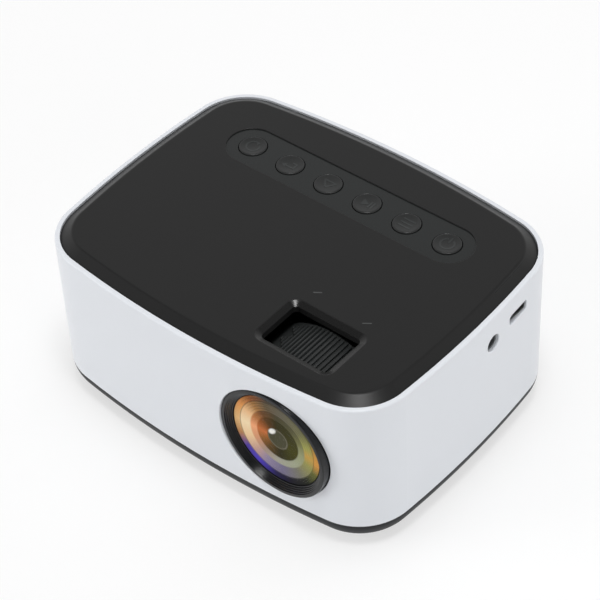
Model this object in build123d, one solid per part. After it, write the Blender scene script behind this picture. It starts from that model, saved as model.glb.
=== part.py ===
from build123d import *
import os
from math import cos, hypot, pi, radians, sin, sqrt

# Mini projector, in millimetres, +Z up, standing on its feet at Z = 0.
# The lens looks along -Y, +X is on the right as seen from the front,
# and the origin is on the table under the middle of the case.

# Case outline: four bowed sides joined by round corners
WIDTH = 115.0
DEPTH = 89.2
FACE_BOW = 5.2
SIDE_BOW = 3.3
CORNER_R = 16.4
WALL = 2.0

# Heights
FOOT_H = 2.0
SEAM_Z = 8.2
LEDGE_Z = 48.6
COVER_EDGE_Z = 50.0
RIM_Z = 50.6
TOP_Z = 51.9
PLATE_UNDER_Z = 49.9

# Case edges
BASE_ROUND = 4.5
BASE_FULLNESS = 1.2
COVER_INSET = 1.4
COVER_GAP = 0.08
CHAMFER_INSET = 4.7
TOP_ROUND = 1.2
EDGE_ROUND = 0.4
RIM_ROUND = 0.5
SKIRT_INSET = 3.4
LIP_INSET = 2.1
TRAY_INSET = 3.5
TRAY_Z = 4.2
LIP_TOP_Z = 10.0

# Lens, focus ring and their fits
LENS_X = 26.7
LENS_Z = 28.1
BEZEL_R = 16.7
BEZEL_FRONT_Y = -43.9
BEZEL_BACK_Y = -37.7
TUBE_R = 16.3
TUBE_BORE_R = 14.8
TUBE_FRONT_Y = -38.6
TUBE_BACK_Y = -9.7
BARREL_R = 14.7
NOSE_R = 14.1
BARREL_FRONT_Y = -42.0
RING_BORE_R = 16.4
RING_R = 19.9
RIB_R = 20.7
RING_FRONT_Y = -37.6
RING_BACK_Y = -18.6
PIN_Y = -29.5
PIN_R = 1.0
SLOT_PLAY = 0.15
PIN_ANGLES = (60, 180, 300)
FOCUS_MIN_DEG = -15
FOCUS_MAX_DEG = 35
ADVANCE_PER_DEG = 0.07
FRONT_LENS_R = 13.6
FRONT_LENS_Y = (-41.7, -38.6)
MIDDLE_LENS_R = 11.0
MIDDLE_LENS_Y = (-31.2, -28.2)
REAR_LENS_R = 12.0
REAR_LENS_Y = (-19.2, -16.2)
SEAT_GAP = 0.05
RIB_PITCH_DEG = 3.5
RIB_COUNT = 27
FIRST_RIB_DEG = -29.5
RIB_WIDTH = 0.55
RIB_Y = (-36.4, -19.4)

# Focus window in the top cover
WINDOW_X = 26.05
WINDOW_Y = -26.2
WINDOW_L = 21.3
WINDOW_W = 14.0
WINDOW_BEVEL = 1.75
WINDOW_SILL = 0.9
BRIM_ROUND = 0.5
WINDOW_CORNER = 1.3
WINDOW_FRAME = 1.2

# Keys
KEY_PITCH = 13.1
KEY_COUNT = 6
KEY_Y = 21.3
KEY_R = 3.85
KEY_HOLE_R = 4.05
KEYPAD_L = 80.6
KEYPAD_W = 14.3
KEYPAD_DEPTH = 0.35
KEYPAD_ROUND = 0.12
KEY_TOP_Z = 51.9
KEY_ROUND = 0.3
KEY_DISH = 0.25
KEY_FLANGE_R = 4.8
KEY_FLANGE_Z = (49.05, 49.75)
KEY_STEM_R = 1.9
PLUNGER_R = 1.6
PLUNGER_Z = (47.1, 48.7)
SWITCH_SIZE = 6.0
SWITCH_TOP_Z = 48.0

# Main board hangs under the top cover
BOARD_Z = 44.6
BOARD_T = 1.6

# Sockets in the back and side walls
PANEL_HALF = 49.8
PANEL_LOW_Z = 32.1
PANEL_HIGH_Z = 46.6
PANEL_DEPTH = 0.25
USB_X = 21.3
USB_Z = 41.2
USB_HOLE_W = 13.4
USB_HOLE_H = 6.0
USB_SHELL_W = 12.5
USB_SHELL_H = 5.12
USB_BACK_Y = 29.4
USB_MOUTH_Y = 43.0
USB_HEEL_Y = 33.0
USB_TONGUE_W = 11.0
USB_TONGUE_Z = (USB_Z - 0.95, USB_Z + 0.35)
JACK_X = -39.6
JACK_Z = 42.15
JACK_HOLE_R = 3.0
JACK_NOSE_R = 2.85
JACK_MOUTH_Y = 41.7
IR_X = 9.4
IR_Z = 39.35
IR_RING_R = 2.65
IR_RING_HOLE_R = 0.6
IR_MIDDLE_HOLE_R = 0.83
AV_Y = 7.8
AV_Z = 41.2
AV_HOLE_R = 2.5
AV_NOSE_R = 2.35
AV_MOUTH_X = 56.4
MICRO_Y = 19.2
MICRO_Z = 42.8
MICRO_W = 7.5
MICRO_H = 2.6
MICRO_GAP = 0.3
MICRO_X = (50.9, 56.1)
MICRO_SHEET_T = 0.25
HOLE_ROUND = 0.25
FINE_ROUND = 0.12
PLUG_BORE_R = 1.8
PLUG_DEPTH = 13.3
SHEET_T = 0.3

# Vents
VENT_X = 30.0
VENT_ZS = (14.05, 21.1, 28.15)
VENT_L = 20.7
VENT_H = 4.55
VENT_ROUND = 0.4
MESH_L = 25.0
MESH_H = 20.6
MESH_T = 0.5
MESH_PITCH = 1.4
MESH_HOLE_R = 0.42

# Light engine: light runs along +X, then a 45 degree mirror turns it to -Y
ENGINE_Y = 10.5
ENGINE_HALF_Y = 18.7
ENGINE_HALF_Z = 14.8
ENGINE_WALL = 1.5
ENGINE_LEFT_X = -27.5
ENGINE_RIGHT_X = 43.5
ENGINE_FRONT_Y = -8.2
ENGINE_FLOOR_Z = LENS_Z - ENGINE_HALF_Z
ENGINE_TOP_Z = LENS_Z + ENGINE_HALF_Z
MIRROR_T = 1.5

# Cooling fan and speaker, each behind one group of vents
FAN_X = -30.0
FAN_SIZE = 30.0
FAN_FRONT_Y = 31.1
FAN_BACK_Y = 37.1
FAN_Z = TRAY_Z + FAN_SIZE / 2
HUB_R = 6.5
FAN_SHAFT_R = 1.0
SPEAKER_X = 30.0
SPEAKER_Z = 19.0
SPEAKER_R = 14.0
SPEAKER_Y = (34.6, 37.0)
CONE_R = 12.3
MAGNET_R = 8.5
WIRE_R = 0.7

# Fasteners
POSTS = ((50.4, -17.5), (-50.4, -17.5), (49.4, 27.5), (-49.4, 27.5))
POST_R = 2.8
POST_FOOT_Z = 10.6
BOARD_POST_R = 2.5
CASE_SCREW_R = 1.1
BOARD_SCREW_R = 0.85
ENGINE_SCREW_R = 0.9
SCREW_GAP = 0.05
CASE_HEAD_R = 2.1
CASE_HEAD_Z = 3.6
CASE_HEAD_H = 1.6
EAR_R = 3.2
EAR_H = 3.0
ENGINE_EARS = ((-22.0, -13.4), (0.0, -13.4), (3.0, 34.4), (34.2, 13.6))
BOARD_SCREWS = ((-20.0, 35.0), (40.0, 33.0), (-40.0, -24.0), (49.0, -2.0))
FEET = ((39.0, 34.3), (-39.0, 34.3), (39.0, -34.3), (-39.0, -34.3))
FOOT_R = 3.3
FOOT_SOCKET = 0.6
INSERT_R = 4.25
INSERT_TOP_Z = 10.0
TRIPOD_BORE_R = 2.55

HALF_W = WIDTH / 2
HALF_D = DEPTH / 2
FACE_R = (HALF_W**2 + FACE_BOW**2) / (2 * FACE_BOW)
SIDE_R = (HALF_D**2 + SIDE_BOW**2) / (2 * SIDE_BOW)


# Plain shapes placed by their limits
def block(x, y, z):
    centre = [(low + high) / 2 for low, high in (x, y, z)]
    return Pos(*centre) * Box(*[high - low for low, high in (x, y, z)])


def column(x, y, z, radius):
    return Pos(x, y, (z[0] + z[1]) / 2) * Cylinder(radius, z[1] - z[0])


def rod_y(x, z, y, radius):
    return Pos(x, (y[0] + y[1]) / 2, z) * Rot(90, 0, 0) * Cylinder(radius, y[1] - y[0])


def rod_x(y, z, x, radius):
    return Pos((x[0] + x[1]) / 2, y, z) * Rot(0, 90, 0) * Cylinder(radius, x[1] - x[0])


def through_y(sketch, x, z, y):
    plane = Plane(origin=(x, y[0], z), x_dir=(1, 0, 0), z_dir=(0, 1, 0))
    return extrude(plane * sketch, amount=y[1] - y[0])


def through_x(sketch, y, z, x):
    plane = Plane(origin=(x[0], y, z), x_dir=(0, 1, 0), z_dir=(1, 0, 0))
    return extrude(plane * sketch, amount=x[1] - x[0])


def plate(corners, z):
    return extrude(Pos(0, 0, z[0]) * Polygon(*corners, align=None), amount=z[1] - z[0])


def joined(shapes):
    first, *others = shapes
    return first + others if others else first


# Bowed case outline: every arc keeps its centre as the outline is inset
def corner_centre():
    face = (0, HALF_D - FACE_R)
    side = (HALF_W - SIDE_R, 0)
    gap = hypot(side[0] - face[0], side[1] - face[1])
    to_face = FACE_R - CORNER_R
    to_side = SIDE_R - CORNER_R
    along = (to_face**2 - to_side**2 + gap**2) / (2 * gap)
    across = sqrt(to_face**2 - along**2)
    ux = (side[0] - face[0]) / gap
    uy = (side[1] - face[1]) / gap
    return face[0] + along * ux + across * uy, face[1] + along * uy - across * ux


CORNER_X, CORNER_Y = corner_centre()


def outline(inset=0.0):
    corner_r = CORNER_R - inset
    face_gap = FACE_R - CORNER_R
    side_gap = SIDE_R - CORNER_R
    face_u = (CORNER_X / face_gap, (CORNER_Y - HALF_D + FACE_R) / face_gap)
    side_u = ((CORNER_X - HALF_W + SIDE_R) / side_gap, CORNER_Y / side_gap)
    middle = hypot(face_u[0] + side_u[0], face_u[1] + side_u[1])
    mid_u = ((face_u[0] + side_u[0]) / middle, (face_u[1] + side_u[1]) / middle)
    face_x, face_y = [c + corner_r * u for c, u in zip((CORNER_X, CORNER_Y), face_u)]
    side_x, side_y = [c + corner_r * u for c, u in zip((CORNER_X, CORNER_Y), side_u)]
    mid_x, mid_y = [c + corner_r * u for c, u in zip((CORNER_X, CORNER_Y), mid_u)]
    half_w = HALF_W - inset
    half_d = HALF_D - inset
    edges = [
        ThreePointArc((side_x, -side_y), (half_w, 0), (side_x, side_y)),
        ThreePointArc((side_x, side_y), (mid_x, mid_y), (face_x, face_y)),
        ThreePointArc((face_x, face_y), (0, half_d), (-face_x, face_y)),
        ThreePointArc((-face_x, face_y), (-mid_x, mid_y), (-side_x, side_y)),
        ThreePointArc((-side_x, side_y), (-half_w, 0), (-side_x, -side_y)),
        ThreePointArc((-side_x, -side_y), (-mid_x, -mid_y), (-face_x, -face_y)),
        ThreePointArc((-face_x, -face_y), (0, -half_d), (face_x, -face_y)),
        ThreePointArc((face_x, -face_y), (mid_x, -mid_y), (side_x, -side_y)),
    ]
    return Face(Wire(edges))


def prism(inset, z):
    return extrude(Pos(0, 0, z[0]) * outline(inset), amount=z[1] - z[0])


# A slab whose wall rolls over to its flat face along a quarter ellipse,
# or along a flatter curve where fullness is more than 1
def rolled(wall_z, flat_z, depth, steps, fullness=1.0):
    sections = []
    for step in range(steps + 1):
        turn = pi / 2 * step / steps
        z = wall_z + (flat_z - wall_z) * sin(turn)**fullness
        sections.append(Pos(0, 0, z) * outline(depth * (1 - cos(turn))))
    return loft(sections)


def wall_y(x, inset=0.0):
    return HALF_D - FACE_R + sqrt((FACE_R - inset)**2 - x**2)


# How far a point beside the corners lies inside the case outline
def inset_of(point):
    face = FACE_R - hypot(point.X, abs(point.Y) - HALF_D + FACE_R)
    side = SIDE_R - hypot(abs(point.X) - HALF_W + SIDE_R, point.Y)
    return min(face, side)


# Rounds the edge of a hole where it opens in a wall, from the hole's middle and half its reach
def round_mouth(shell, middle, reach, inset, radius):
    mouth = []
    for edge in shell.edges():
        points = [edge.position_at(share) for share in (0.1, 0.5, 0.9)]
        offsets = [tuple(point - Vector(*middle)) for point in points]
        near = all(abs(way) < limit for offset in offsets for way, limit in zip(offset, reach))
        if near and all(abs(inset_of(point) - inset) < 0.02 for point in points):
            mouth.append(edge)
    return fillet(mouth, radius)


# The largest flat face at a height
def face_at(shape, z):
    level = [face for face in shape.faces() if abs(face.center().Z - z) < 0.01]
    return max(level, key=lambda face: face.area)


# A turned piece on the lens axis, from radius and Y pairs
def turned(profile):
    corners = [(LENS_X + radius, y) for radius, y in profile]
    face = Pos(0, 0, LENS_Z) * Polygon(*corners, align=None)
    return revolve(face, Axis((LENS_X, 0, LENS_Z), (0, 1, 0)))


# Angles round the lens axis are measured from the top towards -X
def radial_pin(angle, y, radii, pin_r):
    length = radii[1] - radii[0]
    pin = Pos(0, 0, (radii[0] + radii[1]) / 2) * Cylinder(pin_r, length)
    return Pos(LENS_X, y, LENS_Z) * Rot(0, -angle, 0) * pin


def sag(radius, bend):
    if bend == 0:
        return 0.0
    depth = abs(bend) - sqrt(bend**2 - radius**2)
    return depth if bend > 0 else -depth


# A lens: bend is each surface's radius, positive where it bulges outwards and 0 where it is flat
def lens(radius, y, front_bend, back_bend):
    front_apex = y[0] - sag(radius, front_bend)
    back_apex = y[1] + sag(radius, back_bend)
    half = radius / 2
    front_mid = front_apex + sag(half, front_bend)
    back_mid = back_apex - sag(half, back_bend)
    rim = LENS_X + radius
    front = Line((LENS_X, front_apex), (rim, y[0]))
    back = Line((rim, y[1]), (LENS_X, back_apex))
    if front_bend:
        front = ThreePointArc((LENS_X, front_apex), (LENS_X + half, front_mid), (rim, y[0]))
    if back_bend:
        back = ThreePointArc((rim, y[1]), (LENS_X + half, back_mid), (LENS_X, back_apex))
    edge = Line((rim, y[0]), (rim, y[1]))
    axis = Line((LENS_X, back_apex), (LENS_X, front_apex))
    face = Pos(0, 0, LENS_Z) * Face(Wire([front, edge, back, axis]))
    return revolve(face, Axis((LENS_X, 0, LENS_Z), (0, 1, 0)))


# White sleeve
def body_shell():
    shell = prism(0, (SEAM_Z, RIM_Z - RIM_ROUND))
    shell += rolled(RIM_Z - RIM_ROUND, RIM_Z, RIM_ROUND, 3)
    shell -= prism(WALL, (SEAM_Z, LEDGE_Z))
    shell -= prism(COVER_INSET, (LEDGE_Z, RIM_Z))
    panel_z = (PANEL_LOW_Z + PANEL_HIGH_Z) / 2
    panel_h = PANEL_HIGH_Z - PANEL_LOW_Z
    panel_corner = 1.2
    panel = through_y(RectangleRounded(2 * PANEL_HALF, panel_h, panel_corner), 0, panel_z, (0, DEPTH))
    shell -= panel - prism(PANEL_DEPTH, (SEAM_Z, RIM_Z))
    back = (30, DEPTH)
    right = (50, WIDTH)
    cuts = [through_y(RectangleRounded(USB_HOLE_W, USB_HOLE_H, 0.5), USB_X, USB_Z, back)]
    cuts.append(rod_y(JACK_X, JACK_Z, back, JACK_HOLE_R))
    cuts.append(rod_y(IR_X, IR_Z, back, IR_MIDDLE_HOLE_R))
    for angle in range(30, 390, 60):
        x = IR_X + IR_RING_R * cos(radians(angle))
        z = IR_Z + IR_RING_R * sin(radians(angle))
        cuts.append(rod_y(x, z, back, IR_RING_HOLE_R))
    for side in (-1, 1):
        for z in VENT_ZS:
            cuts.append(through_y(SlotOverall(VENT_L, VENT_H), side * VENT_X, z, back))
    cuts.append(rod_x(AV_Y, AV_Z, right, AV_HOLE_R))
    micro_hole = RectangleRounded(MICRO_W + 2 * MICRO_GAP, MICRO_H + 2 * MICRO_GAP, 1.0)
    cuts.append(through_x(micro_hole, MICRO_Y, MICRO_Z, right))
    cuts.append(rod_y(LENS_X, LENS_Z, (-DEPTH, -30), BEZEL_R + 0.15))
    return rounded_shell(shell - cuts)


# The sleeve with a round at the mouth of each hole and at the inner edge of its rim
def rounded_shell(shell):
    shell = round_mouth(shell, (LENS_X, -HALF_D, LENS_Z), (18, 6, 18), 0, HOLE_ROUND)
    shell = round_mouth(shell, (USB_X, HALF_D, USB_Z), (8, 4, 4.5), PANEL_DEPTH, HOLE_ROUND)
    shell = round_mouth(shell, (JACK_X, HALF_D, JACK_Z), (4, 6, 4), PANEL_DEPTH, HOLE_ROUND)
    shell = round_mouth(shell, (IR_X, HALF_D, IR_Z), (4, 3, 4), PANEL_DEPTH, FINE_ROUND)
    shell = round_mouth(shell, (HALF_W, AV_Y, AV_Z), (3, 3.5, 3.5), 0, HOLE_ROUND)
    shell = round_mouth(shell, (HALF_W, MICRO_Y, MICRO_Z), (3, 5, 2.5), 0, HOLE_ROUND)
    for side in (-1, 1):
        for z in VENT_ZS:
            shell = round_mouth(shell, (side * VENT_X, HALF_D, z), (11.5, 5, 3), 0, VENT_ROUND)
    rim = face_at(shell, RIM_Z).inner_wires()[0]
    return fillet(rim.edges(), FINE_ROUND)


def window_outline(grow=0.0):
    sketch = RectangleRounded(WINDOW_L + 2 * grow, WINDOW_W + 2 * grow, WINDOW_CORNER + grow)
    return Pos(WINDOW_X, WINDOW_Y, 0) * sketch


# Black cover with its window, keypad recess and four long screw posts
def top_cover():
    edge = COVER_INSET + COVER_GAP
    cover = prism(edge, (LEDGE_Z, COVER_EDGE_Z))
    low = Pos(0, 0, COVER_EDGE_Z) * outline(edge)
    high = Pos(0, 0, TOP_Z) * outline(CHAMFER_INSET)
    cover += loft([low, high], ruled=True)
    cover -= prism(SKIRT_INSET, (LEDGE_Z, PLATE_UNDER_Z))
    cover += Pos(0, 0, PLATE_UNDER_Z - 0.7) * extrude(window_outline(WINDOW_FRAME), amount=1.0)
    root_z = PLATE_UNDER_Z + 0.5
    for x, y in POSTS:
        cover += column(x, y, (POST_FOOT_Z, root_z), POST_R)
    for x, y in BOARD_SCREWS:
        cover += column(x, y, (BOARD_Z + BOARD_T, root_z), BOARD_POST_R)
    cuts = [extrude(Pos(0, 0, 45) * window_outline(), amount=10)]
    sill = Pos(0, 0, TOP_Z - WINDOW_SILL) * window_outline()
    brim = Pos(0, 0, TOP_Z) * window_outline(WINDOW_BEVEL)
    cuts.append(loft([sill, brim], ruled=True))
    recess = Pos(0, KEY_Y, TOP_Z - KEYPAD_DEPTH) * SlotOverall(KEYPAD_L, KEYPAD_W)
    cuts.append(extrude(recess, amount=1))
    for x in key_places():
        cuts.append(column(x, KEY_Y, (45, 55), KEY_HOLE_R))
    for x, y in POSTS:
        cuts.append(column(x, y, (POST_FOOT_Z, POST_FOOT_Z + 12), CASE_SCREW_R + SCREW_GAP))
    for x, y in BOARD_SCREWS:
        cuts.append(column(x, y, (BOARD_Z + BOARD_T, 50.2), BOARD_SCREW_R + SCREW_GAP))
    return rounded_cover(cover - cuts)


# The cover with rounds along its chamfer, the window's brim, the keypad and the key holes
def rounded_cover(cover):
    cover = fillet(face_at(cover, TOP_Z).outer_wire().edges(), TOP_ROUND)
    for radius, side in ((BRIM_ROUND, -1), (KEYPAD_ROUND, 1)):
        brim = [wire for wire in face_at(cover, TOP_Z).inner_wires() if side * wire.center().Y > 0]
        cover = fillet(brim[0].edges(), radius)
    key_holes = face_at(cover, TOP_Z - KEYPAD_DEPTH).inner_wires()
    cover = fillet([edge for hole in key_holes for edge in hole.edges()], KEYPAD_ROUND)
    foot = [edge for edge in cover.edges() if abs(edge.center().Z - COVER_EDGE_Z) < 0.01]
    return fillet(foot, EDGE_ROUND)


# Dark tray: its wall rolls under to the flat bottom
def base_shell():
    base = rolled(SEAM_Z, FOOT_H, BASE_ROUND, 6, BASE_FULLNESS)
    base += prism(LIP_INSET, (SEAM_Z, LIP_TOP_Z))
    base -= prism(TRAY_INSET, (TRAY_Z, LIP_TOP_Z))
    inside = prism(LIP_INSET, (FOOT_H + 1, POST_FOOT_Z + 10))
    root_z = TRAY_Z - 0.5
    ear_z = ENGINE_FLOOR_Z - ENGINE_WALL
    bosses = [column(x, y, (root_z, POST_FOOT_Z), 3.4) & inside for x, y in POSTS]
    bosses += [column(x, y, (root_z, ear_z), EAR_R) for x, y in ENGINE_EARS]
    bosses.append(column(0, 0, (root_z, INSERT_TOP_Z + 1), INSERT_R + 2.2))
    fan_half = FAN_SIZE / 2 + 0.2
    for side in (-1, 1):
        rib = sorted((FAN_X + side * fan_half, FAN_X + side * (fan_half + 1.3)))
        bosses.append(block(rib, (FAN_FRONT_Y + 1, FAN_BACK_Y - 1), (root_z, 14)))
    cradle_y = (SPEAKER_Y[0] + 0.1, SPEAKER_Y[1] - 0.1)
    cradle = block((SPEAKER_X - 11, SPEAKER_X + 11), cradle_y, (root_z, 12))
    bosses.append(cradle - rod_y(SPEAKER_X, SPEAKER_Z, (34, 38), SPEAKER_R + 0.05))
    base += bosses
    cuts = [column(0, 0, (0, INSERT_TOP_Z), INSERT_R + 0.05)]
    for x, y in POSTS:
        cuts.append(column(x, y, (0, CASE_HEAD_Z + CASE_HEAD_H), CASE_HEAD_R + 0.2))
        cuts.append(column(x, y, (0, 20), CASE_SCREW_R + 0.2))
    for x, y in ENGINE_EARS:
        cuts.append(column(x, y, (6.0, 20), ENGINE_SCREW_R + SCREW_GAP))
    for x, y in FEET:
        cuts.append(column(x, y, (0, FOOT_H + FOOT_SOCKET), FOOT_R + 0.1))
    return base - cuts


def rubber_feet():
    feet = []
    for x, y in FEET:
        foot = column(x, y, (0, FOOT_H + FOOT_SOCKET), FOOT_R)
        feet.append(fillet(foot.edges().group_by(Axis.Z)[0], 1.2))
    return joined(feet)


# Screws: a flat head and a plain shank
def screw(x, y, head_z, head_r, shank_z, shank_r):
    return column(x, y, head_z, head_r) + column(x, y, shank_z, shank_r)


def case_screws():
    head_z = (CASE_HEAD_Z, CASE_HEAD_Z + CASE_HEAD_H)
    shank_z = (CASE_HEAD_Z, 20.5)
    return joined([screw(x, y, head_z, CASE_HEAD_R, shank_z, CASE_SCREW_R) for x, y in POSTS])


def engine_screws():
    ear_top = ENGINE_FLOOR_Z - ENGINE_WALL + EAR_H
    head_z = (ear_top, ear_top + 1.4)
    shank_z = (7.0, ear_top + 1.4)
    return joined([screw(x, y, head_z, 2.0, shank_z, ENGINE_SCREW_R) for x, y in ENGINE_EARS])


def board_screws():
    head_z = (BOARD_Z - 1.3, BOARD_Z)
    shank_z = (BOARD_Z - 1.3, PLATE_UNDER_Z - 0.5)
    return joined([screw(x, y, head_z, 1.8, shank_z, BOARD_SCREW_R) for x, y in BOARD_SCREWS])


# Perforated sheet behind one group of vents: holes only where a slot shows them
def vent_mesh(side):
    column_step = MESH_PITCH * cos(radians(30))
    half_columns = int(VENT_L / 2 / column_step)
    sheet = Rectangle(MESH_L, MESH_H)
    middle_z = VENT_ZS[1]
    holes = []
    for slot_z in VENT_ZS:
        for col in range(-half_columns, half_columns + 1):
            shift = MESH_PITCH / 2 if col % 2 else 0.0
            rows = (-1, 0) if col % 2 else (-1, 0, 1)
            for row in rows:
                holes.append(Pos(col * column_step, slot_z - middle_z + row * MESH_PITCH + shift))
    sheet -= [place * Circle(MESH_HOLE_R) for place in holes]
    near = VENT_X - MESH_L / 2
    far = VENT_X + MESH_L / 2
    rise = wall_y(near, WALL) - wall_y(far, WALL)
    mid_y = (wall_y(near, WALL) + wall_y(far, WALL)) / 2 - 0.05
    slope = rise / MESH_L
    along = Vector(1, -side * slope, 0)
    plane = Plane(origin=(side * VENT_X, mid_y, middle_z), x_dir=along, z_dir=(side * slope, 1, 0))
    return extrude(plane * sheet, amount=-MESH_T)


# Keys and the push switches under them
def key_places():
    return [(i - (KEY_COUNT - 1) / 2) * KEY_PITCH for i in range(KEY_COUNT)]


def key_cap(x):
    dish_r = 24
    cap = column(x, KEY_Y, (KEY_FLANGE_Z[0], KEY_TOP_Z), KEY_R)
    cap = fillet(cap.edges().group_by(Axis.Z)[-1], KEY_ROUND)
    cap -= Pos(x, KEY_Y, KEY_TOP_Z - KEY_DISH + dish_r) * Sphere(dish_r)
    cap += column(x, KEY_Y, KEY_FLANGE_Z, KEY_FLANGE_R)
    return cap + column(x, KEY_Y, (PLUNGER_Z[1], KEY_FLANGE_Z[0]), KEY_STEM_R)


def key_plunger(x):
    return column(x, KEY_Y, PLUNGER_Z, PLUNGER_R)


def key_switches():
    low = BOARD_Z + BOARD_T
    half = SWITCH_SIZE / 2
    pin_x = half + 0.9
    switches = []
    for x in key_places():
        can = block((x - half, x + half), (KEY_Y - half, KEY_Y + half), (low, SWITCH_TOP_Z))
        for y in (KEY_Y - 1.5, KEY_Y + 1.5):
            can += block((x - pin_x, x + pin_x), (y - 0.4, y + 0.4), (low, low + SHEET_T))
        switches.append(can - column(x, KEY_Y, (PLUNGER_Z[0] - 0.5, SWITCH_TOP_Z), PLUNGER_R + 0.1))
    return joined(switches)


# Main board and its sockets
def main_board():
    corners = [(-46, -29), (4, -29), (4, -8), (53, -8), (53, 23.4), (45.5, 23.4)]
    corners += [(45.5, 33), (41, 38), (-41, 38), (-46, 33)]
    board = plate(corners, (BOARD_Z, BOARD_Z + BOARD_T))
    return board - [column(x, y, (BOARD_Z, 50), 1.0) for x, y in BOARD_SCREWS]


def main_chip():
    low = BOARD_Z + BOARD_T
    return block((-20, -6), (-12, 2), (low, low + 1.2))


def usb_section(thin, y):
    half_w = USB_SHELL_W / 2 - thin
    half_h = USB_SHELL_H / 2 - thin
    return block((USB_X - half_w, USB_X + half_w), y, (USB_Z - half_h, USB_Z + half_h))


def usb_shell():
    shell = usb_section(0, (USB_BACK_Y, USB_MOUTH_Y))
    shell -= usb_section(SHEET_T, (USB_BACK_Y + SHEET_T, USB_MOUTH_Y))
    half_w = USB_SHELL_W / 2
    sides = ((USB_X - half_w, USB_X - half_w + SHEET_T), (USB_X + half_w - SHEET_T, USB_X + half_w))
    return shell + [block(x, (32, 37), (USB_Z + 2.0, BOARD_Z)) for x in sides]


def usb_tongue():
    heel = usb_section(SHEET_T, (USB_BACK_Y + SHEET_T, USB_HEEL_Y))
    half_w = USB_TONGUE_W / 2
    return heel + block((USB_X - half_w, USB_X + half_w), (USB_HEEL_Y, USB_MOUTH_Y - 0.8), USB_TONGUE_Z)


def usb_contacts():
    high = USB_TONGUE_Z[1]
    half = 0.5
    strips = []
    for x in (USB_X - 3.5, USB_X - 1.0, USB_X + 1.0, USB_X + 3.5):
        strips.append(block((x - half, x + half), (USB_HEEL_Y, USB_MOUTH_Y - 1.6), (high, high + SHEET_T)))
    return joined(strips)


def audio_jack():
    body = (JACK_X - 3.5, JACK_X + 3.5)
    jack = block(body, (27.4, 39.3), (JACK_Z - JACK_NOSE_R, BOARD_Z))
    jack += rod_y(JACK_X, JACK_Z, (39.0, JACK_MOUTH_Y), JACK_NOSE_R)
    return jack - rod_y(JACK_X, JACK_Z, (JACK_MOUTH_Y - PLUG_DEPTH, 45), PLUG_BORE_R)


def av_jack():
    body = (AV_Y - 3.0, AV_Y + 3.0)
    jack = block((42.0, 54.0), body, (AV_Z - 2.8, BOARD_Z))
    jack += rod_x(AV_Y, AV_Z, (53.5, AV_MOUTH_X), AV_NOSE_R)
    return jack - rod_x(AV_Y, AV_Z, (AV_MOUTH_X - PLUG_DEPTH, 60), PLUG_BORE_R)


def micro_section(thin, x):
    sketch = RectangleRounded(MICRO_W - 2 * thin, MICRO_H - 2 * thin, 0.7 - thin)
    return through_x(sketch, MICRO_Y, MICRO_Z, x)


def micro_usb_shell():
    back, mouth = MICRO_X
    shell = micro_section(0, MICRO_X) - micro_section(MICRO_SHEET_T, (back + SHEET_T, mouth))
    return shell + block((back, 53.0), (MICRO_Y - 3.0, MICRO_Y + 3.0), (MICRO_Z + MICRO_H / 2, BOARD_Z))


def micro_usb_tongue():
    back, mouth = MICRO_X
    heel_x = back + 1.5
    tongue = block((heel_x, mouth - 0.9), (MICRO_Y - 1.9, MICRO_Y + 1.9), (MICRO_Z, MICRO_Z + 0.6))
    return micro_section(MICRO_SHEET_T, (back + SHEET_T, heel_x)) + tongue


def ir_receiver():
    can = block((IR_X - 3, IR_X + 3), (37.4, 40.0), (IR_Z - 3.4, IR_Z + 3.4))
    dome = Pos(IR_X, 39.6, IR_Z) * Sphere(2.3)
    pins = []
    for x in (IR_X - 2, IR_X, IR_X + 2):
        pins.append(block((x - 0.25, x + 0.25), (38.3, 38.8), (IR_Z + 3.2, BOARD_Z)))
    return can + dome + pins


# Light engine
def engine_outline(grow):
    left = ENGINE_LEFT_X - grow
    right = ENGINE_RIGHT_X + grow
    front = ENGINE_FRONT_Y - grow
    back = ENGINE_Y + ENGINE_HALF_Y + grow
    slant = LENS_X + ENGINE_Y + (MIRROR_T + grow) * sqrt(2)
    return [(left, front), (right, front), (right, slant - right), (slant - back, back), (left, back)]


# Sheets across the light path: name and X limits
SHEETS = {
    "heat_glass": (-8.0, -6.9),
    "rear_fresnel": (-4.6, -2.6),
    "lcd_panel": (-0.6, 1.8),
    "front_fresnel": (5.0, 7.0),
}
TUBE_SCREW_X = 15.8
TUBE_SCREW_Z = 12.0


def tube_screw_places():
    return [(LENS_X + i * TUBE_SCREW_X, LENS_Z + k * TUBE_SCREW_Z) for i in (-1, 1) for k in (-1, 1)]


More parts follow.
